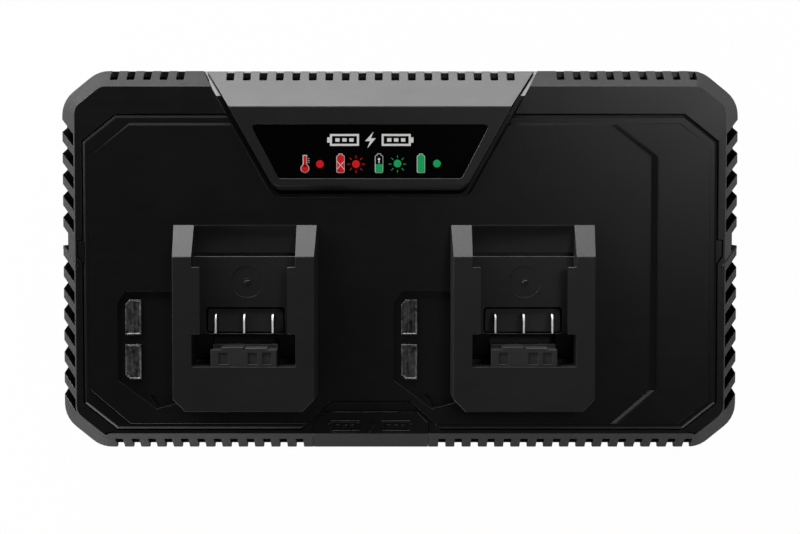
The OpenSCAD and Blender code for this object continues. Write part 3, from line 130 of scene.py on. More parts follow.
class NodeDesk:
    """The node tree of one material, and the one way to add a node to it."""

    def __init__(self, tree: bpy.types.NodeTree) -> None:
        """Starts from an empty tree."""
        self.tree = tree
        tree.nodes.clear()

    def node(
        self,
        kind: str,
        settings: Optional[dict] = None,
        inputs: Optional[dict] = None,
    ) -> bpy.types.Node:
        """Adds a node.

        Args:
            kind: the node's type name.
            settings: properties that are set first.
            inputs: values or links, by socket name or number.

        Returns:
            The new node.
        """
        made = self.tree.nodes.new(kind)
        for name, value in (settings or {}).items():
            setattr(made, name, value)
        for name, value in (inputs or {}).items():
            if isinstance(value, Sock):
                self.tree.links.new(value.socket, made.inputs[name])
            elif isinstance(value, bpy.types.NodeSocket):
                self.tree.links.new(value, made.inputs[name])
            else:
                made.inputs[name].default_value = value
        return made

    def place(self) -> bpy.types.NodeSocket:
        """The point on the piece, in metres."""
        return self.node("ShaderNodeTexCoord").outputs["Object"]

    def stretched(self, scale: Sequence[float]) -> bpy.types.NodeSocket:
        """The point on the piece, stretched along the axes.

        Args:
            scale: the factor along X, Y and Z.

        Returns:
            The Mapping node's output.
        """
        made = self.node("ShaderNodeMapping", {}, {"Vector": self.place(), "Scale": tuple(scale)})
        return made.outputs["Vector"]

    def noise(self, per_metre: float, detail: float = 3.0, at: Optional[bpy.types.NodeSocket] = None) -> Sock:
        """Smooth noise from 0 to 1.

        Args:
            per_metre: how many lumps fit in a metre.
            detail: how many finer layers are added.
            at: the point that it is read at, when not the piece's own.

        Returns:
            The noise value.
        """
        made = self.node(
            "ShaderNodeTexNoise", {}, {"Vector": at or self.place(), "Scale": per_metre, "Detail": detail}
        )
        return Sock(self, made.outputs["Fac"])

    def blended(self, amount: Value, low: Sequence[float], high: Sequence[float]) -> bpy.types.NodeSocket:
        """A colour between two others.

        Args:
            amount: 0 gives low and 1 gives high.
            low: the first colour.
            high: the second colour.

        Returns:
            The mixed colour.
        """
        made = self.node(
            "ShaderNodeMix",
            {"data_type": "RGBA", "clamp_factor": True},
            {0: amount, 6: (*low[:3], 1.0), 7: (*high[:3], 1.0)},
        )
        return made.outputs[2]

    def bump(self, height: Sock, depth: float) -> bpy.types.NodeSocket:
        """The normal of a surface with small relief.

        Args:
            height: the relief from 0 to 1.
            depth: how tall the relief is, in metres.

        Returns:
            The bumped normal.
        """
        made = self.node("ShaderNodeBump", {}, {"Height": height, "Strength": 1.0, "Distance": depth})
        return made.outputs["Normal"]

    def surface(self, shader: bpy.types.Node) -> None:
        """Ends the tree in this shader."""
        out = self.node("ShaderNodeOutputMaterial")
        self.tree.links.new(shader.outputs[0], out.inputs["Surface"])


# ---------------------------------------------------------------- Finishes


@dataclass(frozen=True)
class Finish:
    """A surface finish. Its subclasses say how its shader is made."""

    name: str
    colour: Colour

    def dress(self, desk: NodeDesk) -> None:
        """Builds the shader."""
        raise NotImplementedError

    def material(self) -> bpy.types.Material:
        """The finish as a material, made once."""
        found = bpy.data.materials.get(self.name)
        if found is not None:
            return found
        made = bpy.data.materials.new(self.name)
        made.use_nodes = True
        self.dress(NodeDesk(made.node_tree))
        return made

    def shaded(self, by: float) -> Colour:
        """The colour times a factor."""
        return tuple(min(1.0, part * by) for part in self.colour)


@dataclass(frozen=True)
class Moulding(Finish):
    """Injection-moulded plastic with a fine spark-eroded texture."""

    roughness: float = 0.42
    grain: float = 1600.0
    grain_depth: float = 0.00002
    mottle: float = 0.06
    gloss: float = 0.5

    def dress(self, desk: NodeDesk) -> None:
        """Grain as relief, broad handling marks in the roughness and faint dust in the colour."""
        grain = desk.noise(per_metre=self.grain, detail=2.0)
        clouds = desk.noise(per_metre=26.0, detail=4.0)
        dust = desk.noise(per_metre=900.0, detail=6.0) ** 6.0
        rubbed = desk.noise(per_metre=90.0, detail=5.0, at=desk.stretched((1.0, 3.2, 1.0)))
        tone = clouds * 0.55 + rubbed * 0.3 + dust * 2.0
        wear = (clouds * 0.7 + rubbed * 0.6) * self.mottle * 1.6
        shader = desk.node(
            "ShaderNodeBsdfPrincipled",
            {},
            {
                "Base Color": desk.blended(tone, self.shaded(0.82), self.shaded(1.3)),
                "Roughness": (self.roughness - self.mottle) + wear,
                "Specular IOR Level": self.gloss,
                "Normal": desk.bump(grain, self.grain_depth),
            },
        )
        desk.surface(shader)


@dataclass(frozen=True)
class Film(Finish):
    """Smooth printed film."""

    roughness: float = 0.3
    gloss: float = 0.25

    def dress(self, desk: NodeDesk) -> None:
        """Almost even colour with faint wipe marks in the gloss."""
        wiped = desk.noise(per_metre=120.0, detail=4.0, at=desk.stretched((0.4, 2.2, 1.0)))
        shader = desk.node(
            "ShaderNodeBsdfPrincipled",
            {},
            {
                "Base Color": desk.blended(wiped, self.shaded(0.9), self.shaded(1.1)),
                "Roughness": self.roughness - 0.04 + wiped * 0.1,
                "Specular IOR Level": self.gloss,
            },
        )
        desk.surface(shader)


@dataclass(frozen=True)
class Plated(Finish):
    """Metal with a plated, drawn or milled surface."""

    roughness: float = 0.26
    brush: Sequence[float] = (1.0, 1.0, 12.0)
    metal: float = 1.0

    def dress(self, desk: NodeDesk) -> None:
        """Fine lines along one axis and cloudy tarnish."""
        lines = desk.noise(per_metre=1400.0, detail=3.0, at=desk.stretched(self.brush))
        tarnish = desk.noise(per_metre=160.0, detail=4.0)
        shader = desk.node(
            "ShaderNodeBsdfPrincipled",
            {},
            {
                "Base Color": desk.blended(tarnish, self.shaded(0.82), self.shaded(1.08)),
                "Metallic": self.metal,
                "Roughness": self.roughness - 0.05 + lines * 0.14,
                "Normal": desk.bump(lines, 0.000006),
            },
        )
        desk.surface(shader)


@dataclass(frozen=True)
class Frosted(Finish):
    """Clear plastic that is frosted from behind, so it looks milky grey over a dark inside."""

    roughness: float = 0.3

    def dress(self, desk: NodeDesk) -> None:
        """Streaks along the window, as the moulding's flow leaves them."""
        streaks = desk.noise(per_metre=620.0, detail=4.0, at=desk.stretched((1.0, 0.16, 1.0)))
        clouds = desk.noise(per_metre=420.0, detail=3.0)
        tone = (streaks * 2.2 + clouds * 1.4 - 1.35) * 1.1
        shader = desk.node(
            "ShaderNodeBsdfPrincipled",
            {},
            {
                "Base Color": desk.blended(tone, self.shaded(0.12), self.shaded(2.4)),
                "Roughness": self.roughness + clouds * 0.12,
                "Specular IOR Level": 0.45,
                "Coat Weight": 0.3,
                "Coat Roughness": 0.1,
                "Normal": desk.bump(streaks, 0.00002),
            },
        )
        desk.surface(shader)


@dataclass(frozen=True)
class Rubber(Finish):
    """Matt moulded rubber."""

    def dress(self, desk: NodeDesk) -> None:
        """Dusty mottling over fine pores."""
        pores = desk.noise(per_metre=2200.0, detail=3.0)
        dust = desk.noise(per_metre=140.0, detail=5.0)
        shader = desk.node(
            "ShaderNodeBsdfPrincipled",
            {},
            {
                "Base Color": desk.blended(dust, self.shaded(0.75), self.shaded(1.7)),
                "Roughness": 0.78 + dust * 0.15,
                "Specular IOR Level": 0.3,
                "Normal": desk.bump(pores, 0.00004),
            },
        )
        desk.surface(shader)


@dataclass(frozen=True)
class SolderMask(Finish):
    """A circuit board's lacquer with its tracks beneath."""

    def dress(self, desk: NodeDesk) -> None:
        """Tracks as raised cells, a shade lighter than the board."""
        cells = desk.node(
            "ShaderNodeTexVoronoi",
            {"distance": "CHEBYCHEV", "feature": "F1"},
            {"Vector": desk.place(), "Scale": 190.0},
        )
        tracks = (Sock(desk, cells.outputs["Distance"]) * 40.0).wave() * 0.5 + 0.5
        shader = desk.node(
            "ShaderNodeBsdfPrincipled",
            {},
            {
                "Base Color": desk.blended(tracks, self.shaded(0.7), self.shaded(1.5)),
                "Roughness": 0.34 + desk.noise(per_metre=300.0) * 0.12,
                "Normal": desk.bump(tracks, 0.00003),
            },
        )
        desk.surface(shader)


@dataclass(frozen=True)
class Wound(Finish):
    """Wire or tape wound round a core."""

    pitch: float = 0.0009

    def dress(self, desk: NodeDesk) -> None:
        """Turns along Z, with a light varnish."""
        split = desk.node("ShaderNodeSeparateXYZ", {}, {0: desk.place()})
        turns = (Sock(desk, split.outputs["Z"]) * (math.tau / self.pitch)).wave() * 0.5 + 0.5
        shader = desk.node(
            "ShaderNodeBsdfPrincipled",
            {},
            {
                "Base Color": desk.blended(turns, self.shaded(0.55), self.shaded(1.2)),
                "Roughness": 0.3 + desk.noise(per_metre=260.0) * 0.2,
                "Normal": desk.bump(turns, 0.0001),
            },
        )
        desk.surface(shader)


@dataclass(frozen=True)
class Speckled(Finish):
    """A dull mineral or ceramic surface."""

    roughness: float = 0.6

    def dress(self, desk: NodeDesk) -> None:
        """Fine speckle and shallow pits."""
        speck = desk.noise(per_metre=1500.0, detail=6.0)
        shader = desk.node(
            "ShaderNodeBsdfPrincipled",
            {},
            {
                "Base Color": desk.blended(speck, self.shaded(0.6), self.shaded(1.5)),
                "Roughness": self.roughness + speck * 0.1,
                "Normal": desk.bump(speck, 0.00003),
            },
        )
        desk.surface(shader)


CASE = Moulding("case moulding", (0.0036, 0.0036, 0.0037), roughness=0.31, mottle=0.08, gloss=0.62)
BASE = Moulding("base moulding", (0.0065, 0.0065, 0.0067), roughness=0.46)
DECK = Moulding("deck moulding", (0.0034, 0.0034, 0.0035), roughness=0.31)
DECK_STEP = Moulding("matt deck step", (0.0035, 0.0035, 0.0036), roughness=0.6, gloss=0.08)
# Tilted deck faces that face the right: matt, and painted lighter than the deck as a painted highlight.
DECK_FLANK_HIGHLIGHT = Moulding("matt deck flank with painted highlight", (0.014, 0.014, 0.0143), roughness=0.6, gloss=0.08)
BEZEL = Moulding("bezel moulding", (0.0068, 0.0068, 0.007), roughness=0.4)
DOCK = Moulding("dock nylon", (0.0062, 0.0062, 0.0064), roughness=0.45, grain=900.0)
NUB = Moulding("torn nylon", (0.02, 0.02, 0.0205), roughness=0.2)
STOP = Moulding("stop block nylon", (0.018, 0.018, 0.0184), roughness=0.5, grain=900.0)
CARRIER = Moulding("terminal carrier", (0.018, 0.018, 0.0184), roughness=0.45)
FAN = Moulding("fan moulding", (0.02, 0.02, 0.02), roughness=0.45)
INLET = Moulding("inlet moulding", (0.012, 0.012, 0.012), roughness=0.28)
PACKAGE = Moulding("moulded package", (0.016, 0.016, 0.017), roughness=0.55)
SOCKET = Moulding("connector nylon", (0.72, 0.71, 0.66), roughness=0.4)
LABEL = Film("label film", (0.0006, 0.0006, 0.0006), roughness=0.2, gloss=0.12)
PRINT_RED = Film("red print", (0.72, 0.009, 0.016), roughness=0.4)
PRINT_GREEN = Film("green print", (0.008, 0.42, 0.12), roughness=0.4)
PRINT_WHITE = Film("white print", (0.78, 0.77, 0.75), roughness=0.4)
BLADE = Plated("nickel blade", (0.4, 0.39, 0.37), roughness=0.24)
# The blades' upward faces: near-white colour as a painted highlight, in place of the reflection of the light
# above.
BLADE_TOP_HIGHLIGHT = Plated("blade top painted highlight", (0.95, 0.94, 0.91), roughness=0.5, metal=0.15)
ZINC = Plated("zinc screw", (0.55, 0.55, 0.56), roughness=0.34)
PIN = Plated("inlet pin", (0.78, 0.64, 0.36), roughness=0.26)
SINK = Plated("heat sink", (0.72, 0.72, 0.74), roughness=0.38, brush=(12.0, 1.0, 1.0))
LENS = Frosted("status window", (0.03, 0.03, 0.03))
# The windows' rims: lighter than the window, as a painted highlight.
LENS_RIM_HIGHLIGHT = Frosted("status window rim painted highlight", (0.07, 0.07, 0.07), roughness=0.2)
EMITTER = Film("light emitter", (0.72, 0.7, 0.5), roughness=0.2, gloss=0.5)
FOOT = Rubber("foot rubber", (0.03, 0.03, 0.03))
LEAD = Rubber("lead insulation", (0.2, 0.025, 0.02))
BOARD = SolderMask("board lacquer", (0.012, 0.09, 0.035))
WINDING = Wound("taped winding", (0.6, 0.42, 0.06))
CHOKE = Wound("choke winding", (0.42, 0.12, 0.04), pitch=0.0012)
FERRITE = Speckled("ferrite", (0.05, 0.05, 0.052))
FUSE = Speckled("fuse tube", (0.7, 0.68, 0.62), roughness=0.25)
SLEEVE = Film("capacitor sleeve", (0.012, 0.016, 0.07), roughness=0.3, gloss=0.5)


# ---------------------------------------------------------------- Shaping


class Shaper:
    """Shapes meshes and hands them to the frame as finished pieces."""

    @staticmethod
    def solid(node: str, whole_faces: bool = False) -> bmesh.types.BMesh:
        """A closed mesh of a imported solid.

        Args:
            node: the solid's name.
            whole_faces: clears the cuts between coplanar triangles. A large shape is bevelled better with
                them.

        Returns:
            Its faces, merged at their corners.
        """
        shape = bmesh.new()
        shape.from_mesh(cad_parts[node].data)
        bmesh.ops.remove_doubles(shape, verts=shape.verts, dist=WELD)
        bmesh.ops.dissolve_degenerate(shape, edges=shape.edges, dist=WELD)
        if whole_faces:
            bmesh.ops.dissolve_limit(
                shape,
                angle_limit=math.radians(0.6),
                verts=shape.verts,
                edges=shape.edges,
                use_dissolve_boundaries=False,
            )
        return shape

    @staticmethod
    def piece(
        shape: bmesh.types.BMesh,
        name: str,
        finishes: Union[Finish, Sequence[Finish]],
        body: str,
        slot: str,
        stands_for: Iterable[str] = (),
        rounding: float = 0.0,
        sharp: float = 32.0,
    ) -> bpy.types.Object:
        """Makes a finished piece of a mesh.

        Args:
            shape: the mesh, which is used up.
            name: the piece's name.
            finishes: its finish, or one for each material number.
            body: the body that it rides on.
            slot: the record's material slot; not used.
            stands_for: the solids that it replaces.
            rounding: the radius of its worn edges, in metres.
            sharp: edges that turn by more than this many degrees stay edges.

        Returns:
            The piece.
        """
        limit = math.radians(sharp)
        if rounding:
            Shaper.weigh(shape, rounding, limit)
        for edge in shape.edges:
            edge.smooth = not (edge.is_manifold and edge.calc_face_angle(0.0) > limit)
        for face in shape.faces:
            face.smooth = True
        mesh = bpy.data.meshes.new(name)
        shape.to_mesh(mesh)
        shape.free()
        made = bpy.data.objects.new(name, mesh)
        bpy.context.scene.collection.objects.link(made)
        for finish in [finishes] if isinstance(finishes, Finish) else finishes:
            mesh.materials.append(finish.material())
        if rounding:
            bevel = made.modifiers.new("worn edges", "BEVEL")
            bevel.width = rounding
            bevel.segments = 2
            bevel.limit_method = "WEIGHT"
            bevel.use_clamp_overlap = False
            bevel.harden_normals = True
            bevel.miter_outer = "MITER_ARC"
            Shaper.settle(made, rounding)
        even = made.modifiers.new("even shading", "WEIGHTED_NORMAL")
        even.keep_sharp = True
        even.weight = 90
        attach(made, body)
        if stands_for:
            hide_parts(*stands_for)
        LOG.info("%s: %d faces", name, len(made.data.polygons))
        return made

    @staticmethod
    def settle(made: bpy.types.Object, rounding: float) -> None:
        """Fixes a piece's rounded edges into its mesh. Where they would fold it over, they get smaller first.

        Args:
            made: the piece, with its bevel modifier.
            rounding: the modifier's full radius.
        """
        plain = made.data
        weights = plain.attributes["bevel_weight_edge"].data
        corners = KDTree(len(plain.vertices))
        for vert in plain.vertices:
            corners.insert(vert.co, vert.index)
        corners.balance()
        for _ in range(SETTLE_PASSES):
            made.update_tag(refresh={"DATA"})
            graph = bpy.context.evaluated_depsgraph_get()
            rounded = bpy.data.meshes.new_from_object(made.evaluated_get(graph))
            spots = Shaper.folds(rounded)
            if not spots:
                break
            near = {hit[1] for spot in spots for hit in corners.find_range(spot, FOLD_REACH * rounding)}
            for edge in plain.edges:
                if not near.isdisjoint(edge.vertices):
                    weights[edge.index].value *= FOLD_EASE
            plain.update()
        LOG.info("%s: %d folded places", made.name, len(spots))
        made.modifiers.clear()
        made.data = rounded

    @staticmethod
    def folds(mesh: bpy.types.Mesh) -> list[Vector]:
        """Where a mesh is folded back over itself, as the ends of the folds."""
        shape = bmesh.new()
        shape.from_mesh(mesh)
        bmesh.ops.triangulate(shape, faces=shape.faces)
        found = []
        for edge in shape.edges:
            if edge.is_manifold and edge.calc_face_angle(0.0) > FOLDED:
                if min(face.calc_area() for face in edge.link_faces) > SPECK:
                    found += [vert.co.copy() for vert in edge.verts]
        shape.free()
        return found

    @staticmethod
    def weigh(shape: bmesh.types.BMesh, rounding: float, limit: float) -> None:
        """Sets how much of the rounding each edge gets, so that a small feature isn't rounded away.

        Args:
            shape: the mesh.
            rounding: the full radius.
            limit: the least angle of an edge that is rounded.
        """
        layer = shape.edges.layers.float.new("bevel_weight_edge")
        for edge in shape.edges:
            if not edge.is_manifold or edge.calc_face_angle(0.0) <= limit:
                continue
            sides = [side for vert in edge.verts for side in vert.link_edges if side is not edge]
            spans = [side.calc_length() for side in sides]
            spans += [Shaper.span(face, edge) for face in edge.link_faces]
            spans += [Shaper.altitude(face, vert) for vert in edge.verts for face in vert.link_faces]
            edge[layer] = min(1.0, EDGE_SHARE * min(spans) / rounding)

    @staticmethod
    def span(face: bmesh.types.BMFace, edge: bmesh.types.BMEdge) -> float:
        """How far a face reaches from one of its edges."""
        start, end = (vert.co for vert in edge.verts)
        along = (end - start).normalized()
        reach = [(vert.co - start - along * (vert.co - start).dot(along)).length for vert in face.verts]
        return max(reach)

    @staticmethod
    def altitude(face: bmesh.types.BMFace, vert: bmesh.types.BMVert) -> float:
        """How far a corner of a face is from the lines of the edges that it isn't on."""
        found = [1.0]
        for edge in face.edges:
            if vert in edge.verts:
                continue
            start, end = (other.co for other in edge.verts)
            along = (end - start).normalized()
            away = vert.co - start
            found.append((away - along * away.dot(along)).length)
        return min(found)

    @staticmethod
    def dress_node(node: str, finish: Finish) -> None:
        """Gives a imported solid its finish.

        Args:
            node: the solid's name.
            finish: what it gets.
        """
        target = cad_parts[node]
        target.data.materials.clear()
        target.data.materials.append(finish.material())
        LOG.info("%s: dressed as it is", node)

    @staticmethod
    def disc(
        shape: bmesh.types.BMesh, at: Vector, radius: float, sides: int = 28
    ) -> list[bmesh.types.BMFace]:
        """Adds a flat disc that looks up.

        Args:
            shape: the mesh it goes into.
            at: its middle.
            radius: its radius.
            sides: its number of edges.

        Returns:
            Its faces.
        """
        made = bmesh.ops.create_circle(
            shape, cap_ends=True, radius=radius, segments=sides, matrix=Matrix.Translation(at)
        )
        return list({face for vert in made["verts"] for face in vert.link_faces})

    @staticmethod
    def plate(
        shape: bmesh.types.BMesh, at: Vector, width: float, length: float, turn: float = 0.0
    ) -> list[bmesh.types.BMFace]:
        """Adds a flat rectangle that looks up.

        Args:
            shape: the mesh it goes into.
            at: its middle.
            width: its size along X.
            length: its size along Y.
            turn: how far it is turned about Z, in degrees.

        Returns:
            Its faces.
        """
        place = Matrix.Translation(at) @ Matrix.Rotation(math.radians(turn), 4, "Z")
        size = Matrix.Diagonal((width, length, 1.0, 1.0))
        made = bmesh.ops.create_grid(shape, x_segments=1, y_segments=1, size=0.5, matrix=place @ size)
        return list({face for vert in made["verts"] for face in vert.link_faces})

    @staticmethod
    def thicken(shape: bmesh.types.BMesh, depth: float) -> None:
        """Turns every flat face into a slab above it.

        Args:
            shape: the mesh.
            depth: the slabs' thickness.
        """
        for face in shape.faces:
            if face.normal.z < 0:
                face.normal_flip()
        base = list(shape.faces)
        made = bmesh.ops.extrude_face_region(shape, geom=base, use_keep_orig=True)
        lifted = [part for part in made["geom"] if isinstance(part, bmesh.types.BMVert)]
        bmesh.ops.translate(shape, verts=lifted, vec=(0.0, 0.0, depth))
        bmesh.ops.reverse_faces(shape, faces=base)
        bmesh.ops.recalc_face_normals(shape, faces=shape.faces)


# ---------------------------------------------------------------- Sub-assemblies


@dataclass(frozen=True)
class Emblem:
    """A generic sign for a two-bay charger: a lightning bolt between two cells that lie on their sides."""

    middle: Vector
    width: float = 42.0 * MM
    height: float = 8.6 * MM
    stroke: float = 1.1 * MM
    cell_share: float = 0.36
    cell_height_share: float = 0.72
    pole_w: float = 1.4 * MM
    pole_share: float = 0.45
    bars: int = 3
    bar_step: float = 0.24
    bar_share: float = 0.15
    bolt_width_share: float = 0.9
    bolt: tuple[tuple[float, float], ...] = (
        (0.22, 0.5), (-0.36, -0.07), (-0.02, -0.07), (-0.2, -0.5), (0.36, 0.1), (0.04, 0.1)
    )

    def draw(self, shape: bmesh.types.BMesh) -> None:
        """Adds the sign's flat faces.

        Args:
            shape: the mesh they go into.
        """
        cell_w = self.width * self.cell_share
        cell_h = self.height * self.cell_height_share
        for side in (-1.0, 1.0):
            x = side * (self.width - cell_w) / 2
            for edge in (-1.0, 1.0):
                rail = Vector((x, edge * (cell_h - self.stroke) / 2, 0.0))
                Shaper.plate(shape, self.middle + rail, cell_w, self.stroke)
                end = Vector((x + edge * (cell_w - self.stroke) / 2, 0.0, 0.0))
                Shaper.plate(shape, self.middle + end, self.stroke, cell_h - 2 * self.stroke)
            pole = Vector((x + side * (cell_w / 2 + self.pole_w / 2), 0.0, 0.0))
            Shaper.plate(shape, self.middle + pole, self.pole_w, cell_h * self.pole_share)
            for bar in range(self.bars):
                fill = Vector((x + (bar - (self.bars - 1) / 2) * cell_w * self.bar_step, 0.0, 0.0))
                Shaper.plate(shape, self.middle + fill, cell_w * self.bar_share, cell_h - 4 * self.stroke)
        width = self.height * self.bolt_width_share
        corners = [Vector((x * width, y * self.height, 0.0)) for x, y in self.bolt]
        shape.faces.new([shape.verts.new(self.middle + corner) for corner in corners])


@dataclass
class CaseShells:
    """The lower shell, the upper frame with its vents, and the front plate with its relief."""

    rounding: float = 0.3 * MM
    emblem_y: float = -87.2 * MM
    emblem_depth: float = 0.45 * MM
    relief_rounding: float = 0.16 * MM
    body: str = "charger"

    def build(self) -> None:
        """Shapes the three shells."""
        base = Shaper.solid("base_shell")
        Shaper.piece(base, "lower_shell", BASE, self.body, "base", ["base_shell"], self.rounding)
        frame = Shaper.solid("top_frame")
        Shaper.piece(frame, "vented_frame", CASE, self.body, "case", ["top_frame"], self.rounding)
        plate = Shaper.solid("front_plate")
        Shaper.piece(plate, "front_cover_plate", DECK, self.body, "deck", ["front_plate"], self.rounding)
        low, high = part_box("front_plate")
        relief = bmesh.new()
        Emblem(Vector(((low.x + high.x) / 2, self.emblem_y, high.z))).draw(relief)
        Shaper.thicken(relief, self.emblem_depth)
        Shaper.piece(relief, "plate_relief", DECK, self.body, "deck", rounding=self.relief_rounding)


@dataclass
class DeckPanel:
    """The deck panel with its stepped fields and pockets."""

    rounding: float = 0.16 * MM
    sharp: float = 13.0
    steepest: float = 0.3
    flattest: float = 0.95
    least_lean: float = 0.3
    body: str = "charger"

    def build(self) -> None:
        """Shapes the panel. Its steps that face the rear or the right are left matt by the mould; those that
        face the right are also painted lighter, as a painted highlight.
        """
        panel = Shaper.solid("deck_panel")
        for face in panel.faces:
            tilted = self.steepest < face.normal.z < self.flattest
            rear, right = face.normal.y > self.least_lean, face.normal.x > self.least_lean
            # Material 2, for faces tilted to the right, is painted lighter as a painted highlight.
            face.material_index = tilted * (1 if rear else 2 if right else 0)
        finishes = [DECK, DECK_STEP, DECK_FLANK_HIGHLIGHT]
        Shaper.piece(
            panel, "deck_moulding", finishes, self.body, "deck", ["deck_panel"], self.rounding, self.sharp
        )


class Charge(Enum):
    """What the display tells of a pack, in order from left to right."""

    TOO_HOT = "too hot"
    FAULT = "fault"
    CHARGING = "charging"
    FULL = "full"


class Layer(IntEnum):
    """The layers of print, from the label up."""

    OUTLINE = 0
    EMPTY = 1
    FILL = 2
    MARK = 3


@dataclass
class StatusDisplay:
    """The bezel, its label and the printed signs."""

    rounding: float = 0.4 * MM
    label_rounding: float = 0.08 * MM
    body: str = "charger"
    print_depth: float = 0.04 * MM
    layer_step: float = 1.2
    sign_y: float = 50.4 * MM
    emblem_x: float = -15.4 * MM
    emblem_y: float = 62.9 * MM
    cell_w: float = 3.7 * MM
    cell_len: float = 8.6 * MM
    cell_corner: float = 0.5 * MM
    cap_len_share: float = 0.1
    cap_w_share: float = 0.42
    empty_from: float = 0.45
    charged_to: float = 0.5
    outline: float = 0.28 * MM
    dot_r: float = 2.0 * MM
    green_dot_dy: float = 0.25 * MM
    bulb_dy: float = -2.3 * MM
    bulb_r: float = 2.0 * MM
    stem_dy: float = 1.4 * MM
    stem_outline: tuple[float, float] = (1.7 * MM, 6.0 * MM)
    stem_fill: tuple[float, float] = (1.5 * MM, 5.8 * MM)
    ticks: int = 3
    tick_at: tuple[float, float] = (2.0 * MM, 0.9 * MM)
    tick_step: float = 1.0 * MM
    tick_size: tuple[float, float] = (0.9 * MM, 0.22 * MM)
    cross_dy: float = -0.6 * MM
    cross_size: tuple[float, float] = (6.0 * MM, 0.3 * MM)
    cross_turn: float = 48.0
    shaft_dy: float = 1.3 * MM
    shaft_size: tuple[float, float] = (0.6 * MM, 1.6 * MM)
    head_dy: float = 2.5 * MM
    head_w: float = 1.1 * MM
    head_turn: float = 45.0
    rays: int = 8
    ray_reach: float = 3.8 * MM
    ray_size: tuple[float, float] = (1.5 * MM, 0.3 * MM)
    face_z: float = field(init=False, default=0.0)
    sign_x: dict[Charge, float] = field(
        default_factory=lambda: {
            Charge.TOO_HOT: -49.4 * MM,
            Charge.FAULT: -30.9 * MM,
            Charge.CHARGING: -10.9 * MM,
            Charge.FULL: 10.9 * MM,
        }
    )
    dot_x: dict[Charge, float] = field(
        default_factory=lambda: {
            Charge.TOO_HOT: -41.6 * MM,
            Charge.FAULT: -22.9 * MM,
            Charge.CHARGING: -1.3 * MM,
            Charge.FULL: 19.2 * MM,
        }
    )

    def build(self) -> None:
        """Shapes the bezel and its label and prints the signs."""
        bezel = Shaper.solid("status_bezel")
        Shaper.piece(bezel, "sloped_bezel", BEZEL, self.body, "case", ["status_bezel"], self.rounding)
        label = Shaper.solid("status_label")
        Shaper.piece(
            label, "label_plate", LABEL, self.body, "label", ["status_label"], self.label_rounding
        )
        self.face_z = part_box("status_label")[1].z
        self._print("signs_white", PRINT_WHITE, self._white())
        self._print("signs_black", LABEL, self._black())
        self._print("signs_red", PRINT_RED, self._red())
        self._print("signs_green", PRINT_GREEN, self._green())

    def _print(self, name: str, finish: Finish, shape: bmesh.types.BMesh) -> None:
        """Turns flat shapes into a layer of print."""
        Shaper.thicken(shape, self.print_depth)
        Shaper.piece(shape, name, finish, self.body, "label")

    def _at(self, x: float, dy: float, layer: Layer) -> Vector:
        """A place on the label: layers lie on top of each other."""
        return Vector((x, self.sign_y + dy, self.face_z + layer * self.print_depth * self.layer_step))

    def _cell(
        self,
        shape: bmesh.types.BMesh,
        state: Charge,
        layer: Layer,
        grow: float = 0.0,
        low: float = 0.0,
        high: float = 1.0,
    ) -> None:
        """Adds a cell's body between two heights, and its cap when it reaches the top.

        Args:
            shape: the mesh it goes into.
            state: the sign that it belongs to.
            layer: the layer of print.
            grow: how far it goes past the cell's size.
            low: the lower height, from 0 to 1.
            high: the upper height, from 0 to 1.
        """
        x = self.sign_x[state]
        y0 = -self.cell_len / 2 + self.cell_len * low
        y1 = -self.cell_len / 2 + self.cell_len * high
        width, length = self.cell_w + 2 * grow, y1 - y0 + 2 * grow
        for face in Shaper.plate(shape, self._at(x, (y0 + y1) / 2, layer), width, length):
            bmesh.ops.bevel(
                shape,
                geom=list(face.verts),
                offset=self.cell_corner + grow,
                segments=3,
                profile=0.5,
                affect="VERTICES",
                material=-1,
            )
        if high >= 1.0:
            shoulder = self.cell_len * self.cap_len_share
            cap_w = self.cell_w * self.cap_w_share + 2 * grow
            Shaper.plate(shape, self._at(x, y1 + shoulder / 2, layer), cap_w, shoulder + 2 * grow)

    def _white(self) -> bmesh.types.BMesh:
        """Outlines, the thermometer's marks, the fault cross, the arrow and the emblem."""
        shape = bmesh.new()
        for state in (Charge.FAULT, Charge.CHARGING, Charge.FULL):
            self._cell(shape, state, Layer.OUTLINE, self.outline)
        x = self.sign_x[Charge.TOO_HOT]
        Shaper.disc(shape, self._at(x, self.bulb_dy, Layer.OUTLINE), self.bulb_r + self.outline)
        stem = [size + 2 * self.outline for size in self.stem_outline]
        Shaper.plate(shape, self._at(x, self.stem_dy, Layer.OUTLINE), *stem)
        for tick in range(self.ticks):
            at = self._at(x + self.tick_at[0], self.tick_at[1] + tick * self.tick_step, Layer.OUTLINE)
            Shaper.plate(shape, at, *self.tick_size)
        for turn in (self.cross_turn, -self.cross_turn):
            at = self._at(self.sign_x[Charge.FAULT], self.cross_dy, Layer.MARK)
            Shaper.plate(shape, at, *self.cross_size, turn)
        x = self.sign_x[Charge.CHARGING]
        Shaper.plate(shape, self._at(x, self.shaft_dy, Layer.MARK), *self.shaft_size)
        Shaper.plate(shape, self._at(x, self.head_dy, Layer.MARK), self.head_w, self.head_w, self.head_turn)
        Emblem(Vector((self.emblem_x, self.emblem_y, self.face_z))).draw(shape)
        return shape

    def _black(self) -> bmesh.types.BMesh:
        """The empty half of the cell that is being charged."""
        shape = bmesh.new()
        self._cell(shape, Charge.CHARGING, Layer.EMPTY, low=self.empty_from)
        return shape

    def _red(self) -> bmesh.types.BMesh:
        """Red fills, dots and rays."""
        shape = bmesh.new()
        x = self.sign_x[Charge.TOO_HOT]
        Shaper.disc(shape, self._at(x, self.bulb_dy, Layer.FILL), self.bulb_r)
        Shaper.plate(shape, self._at(x, self.stem_dy, Layer.FILL), *self.stem_fill)
        self._cell(shape, Charge.FAULT, Layer.FILL)
        for state in (Charge.TOO_HOT, Charge.FAULT):
            Shaper.disc(shape, self._at(self.dot_x[state], 0.0, Layer.FILL), self.dot_r)
        self._rays(shape, self.dot_x[Charge.FAULT])
        return shape

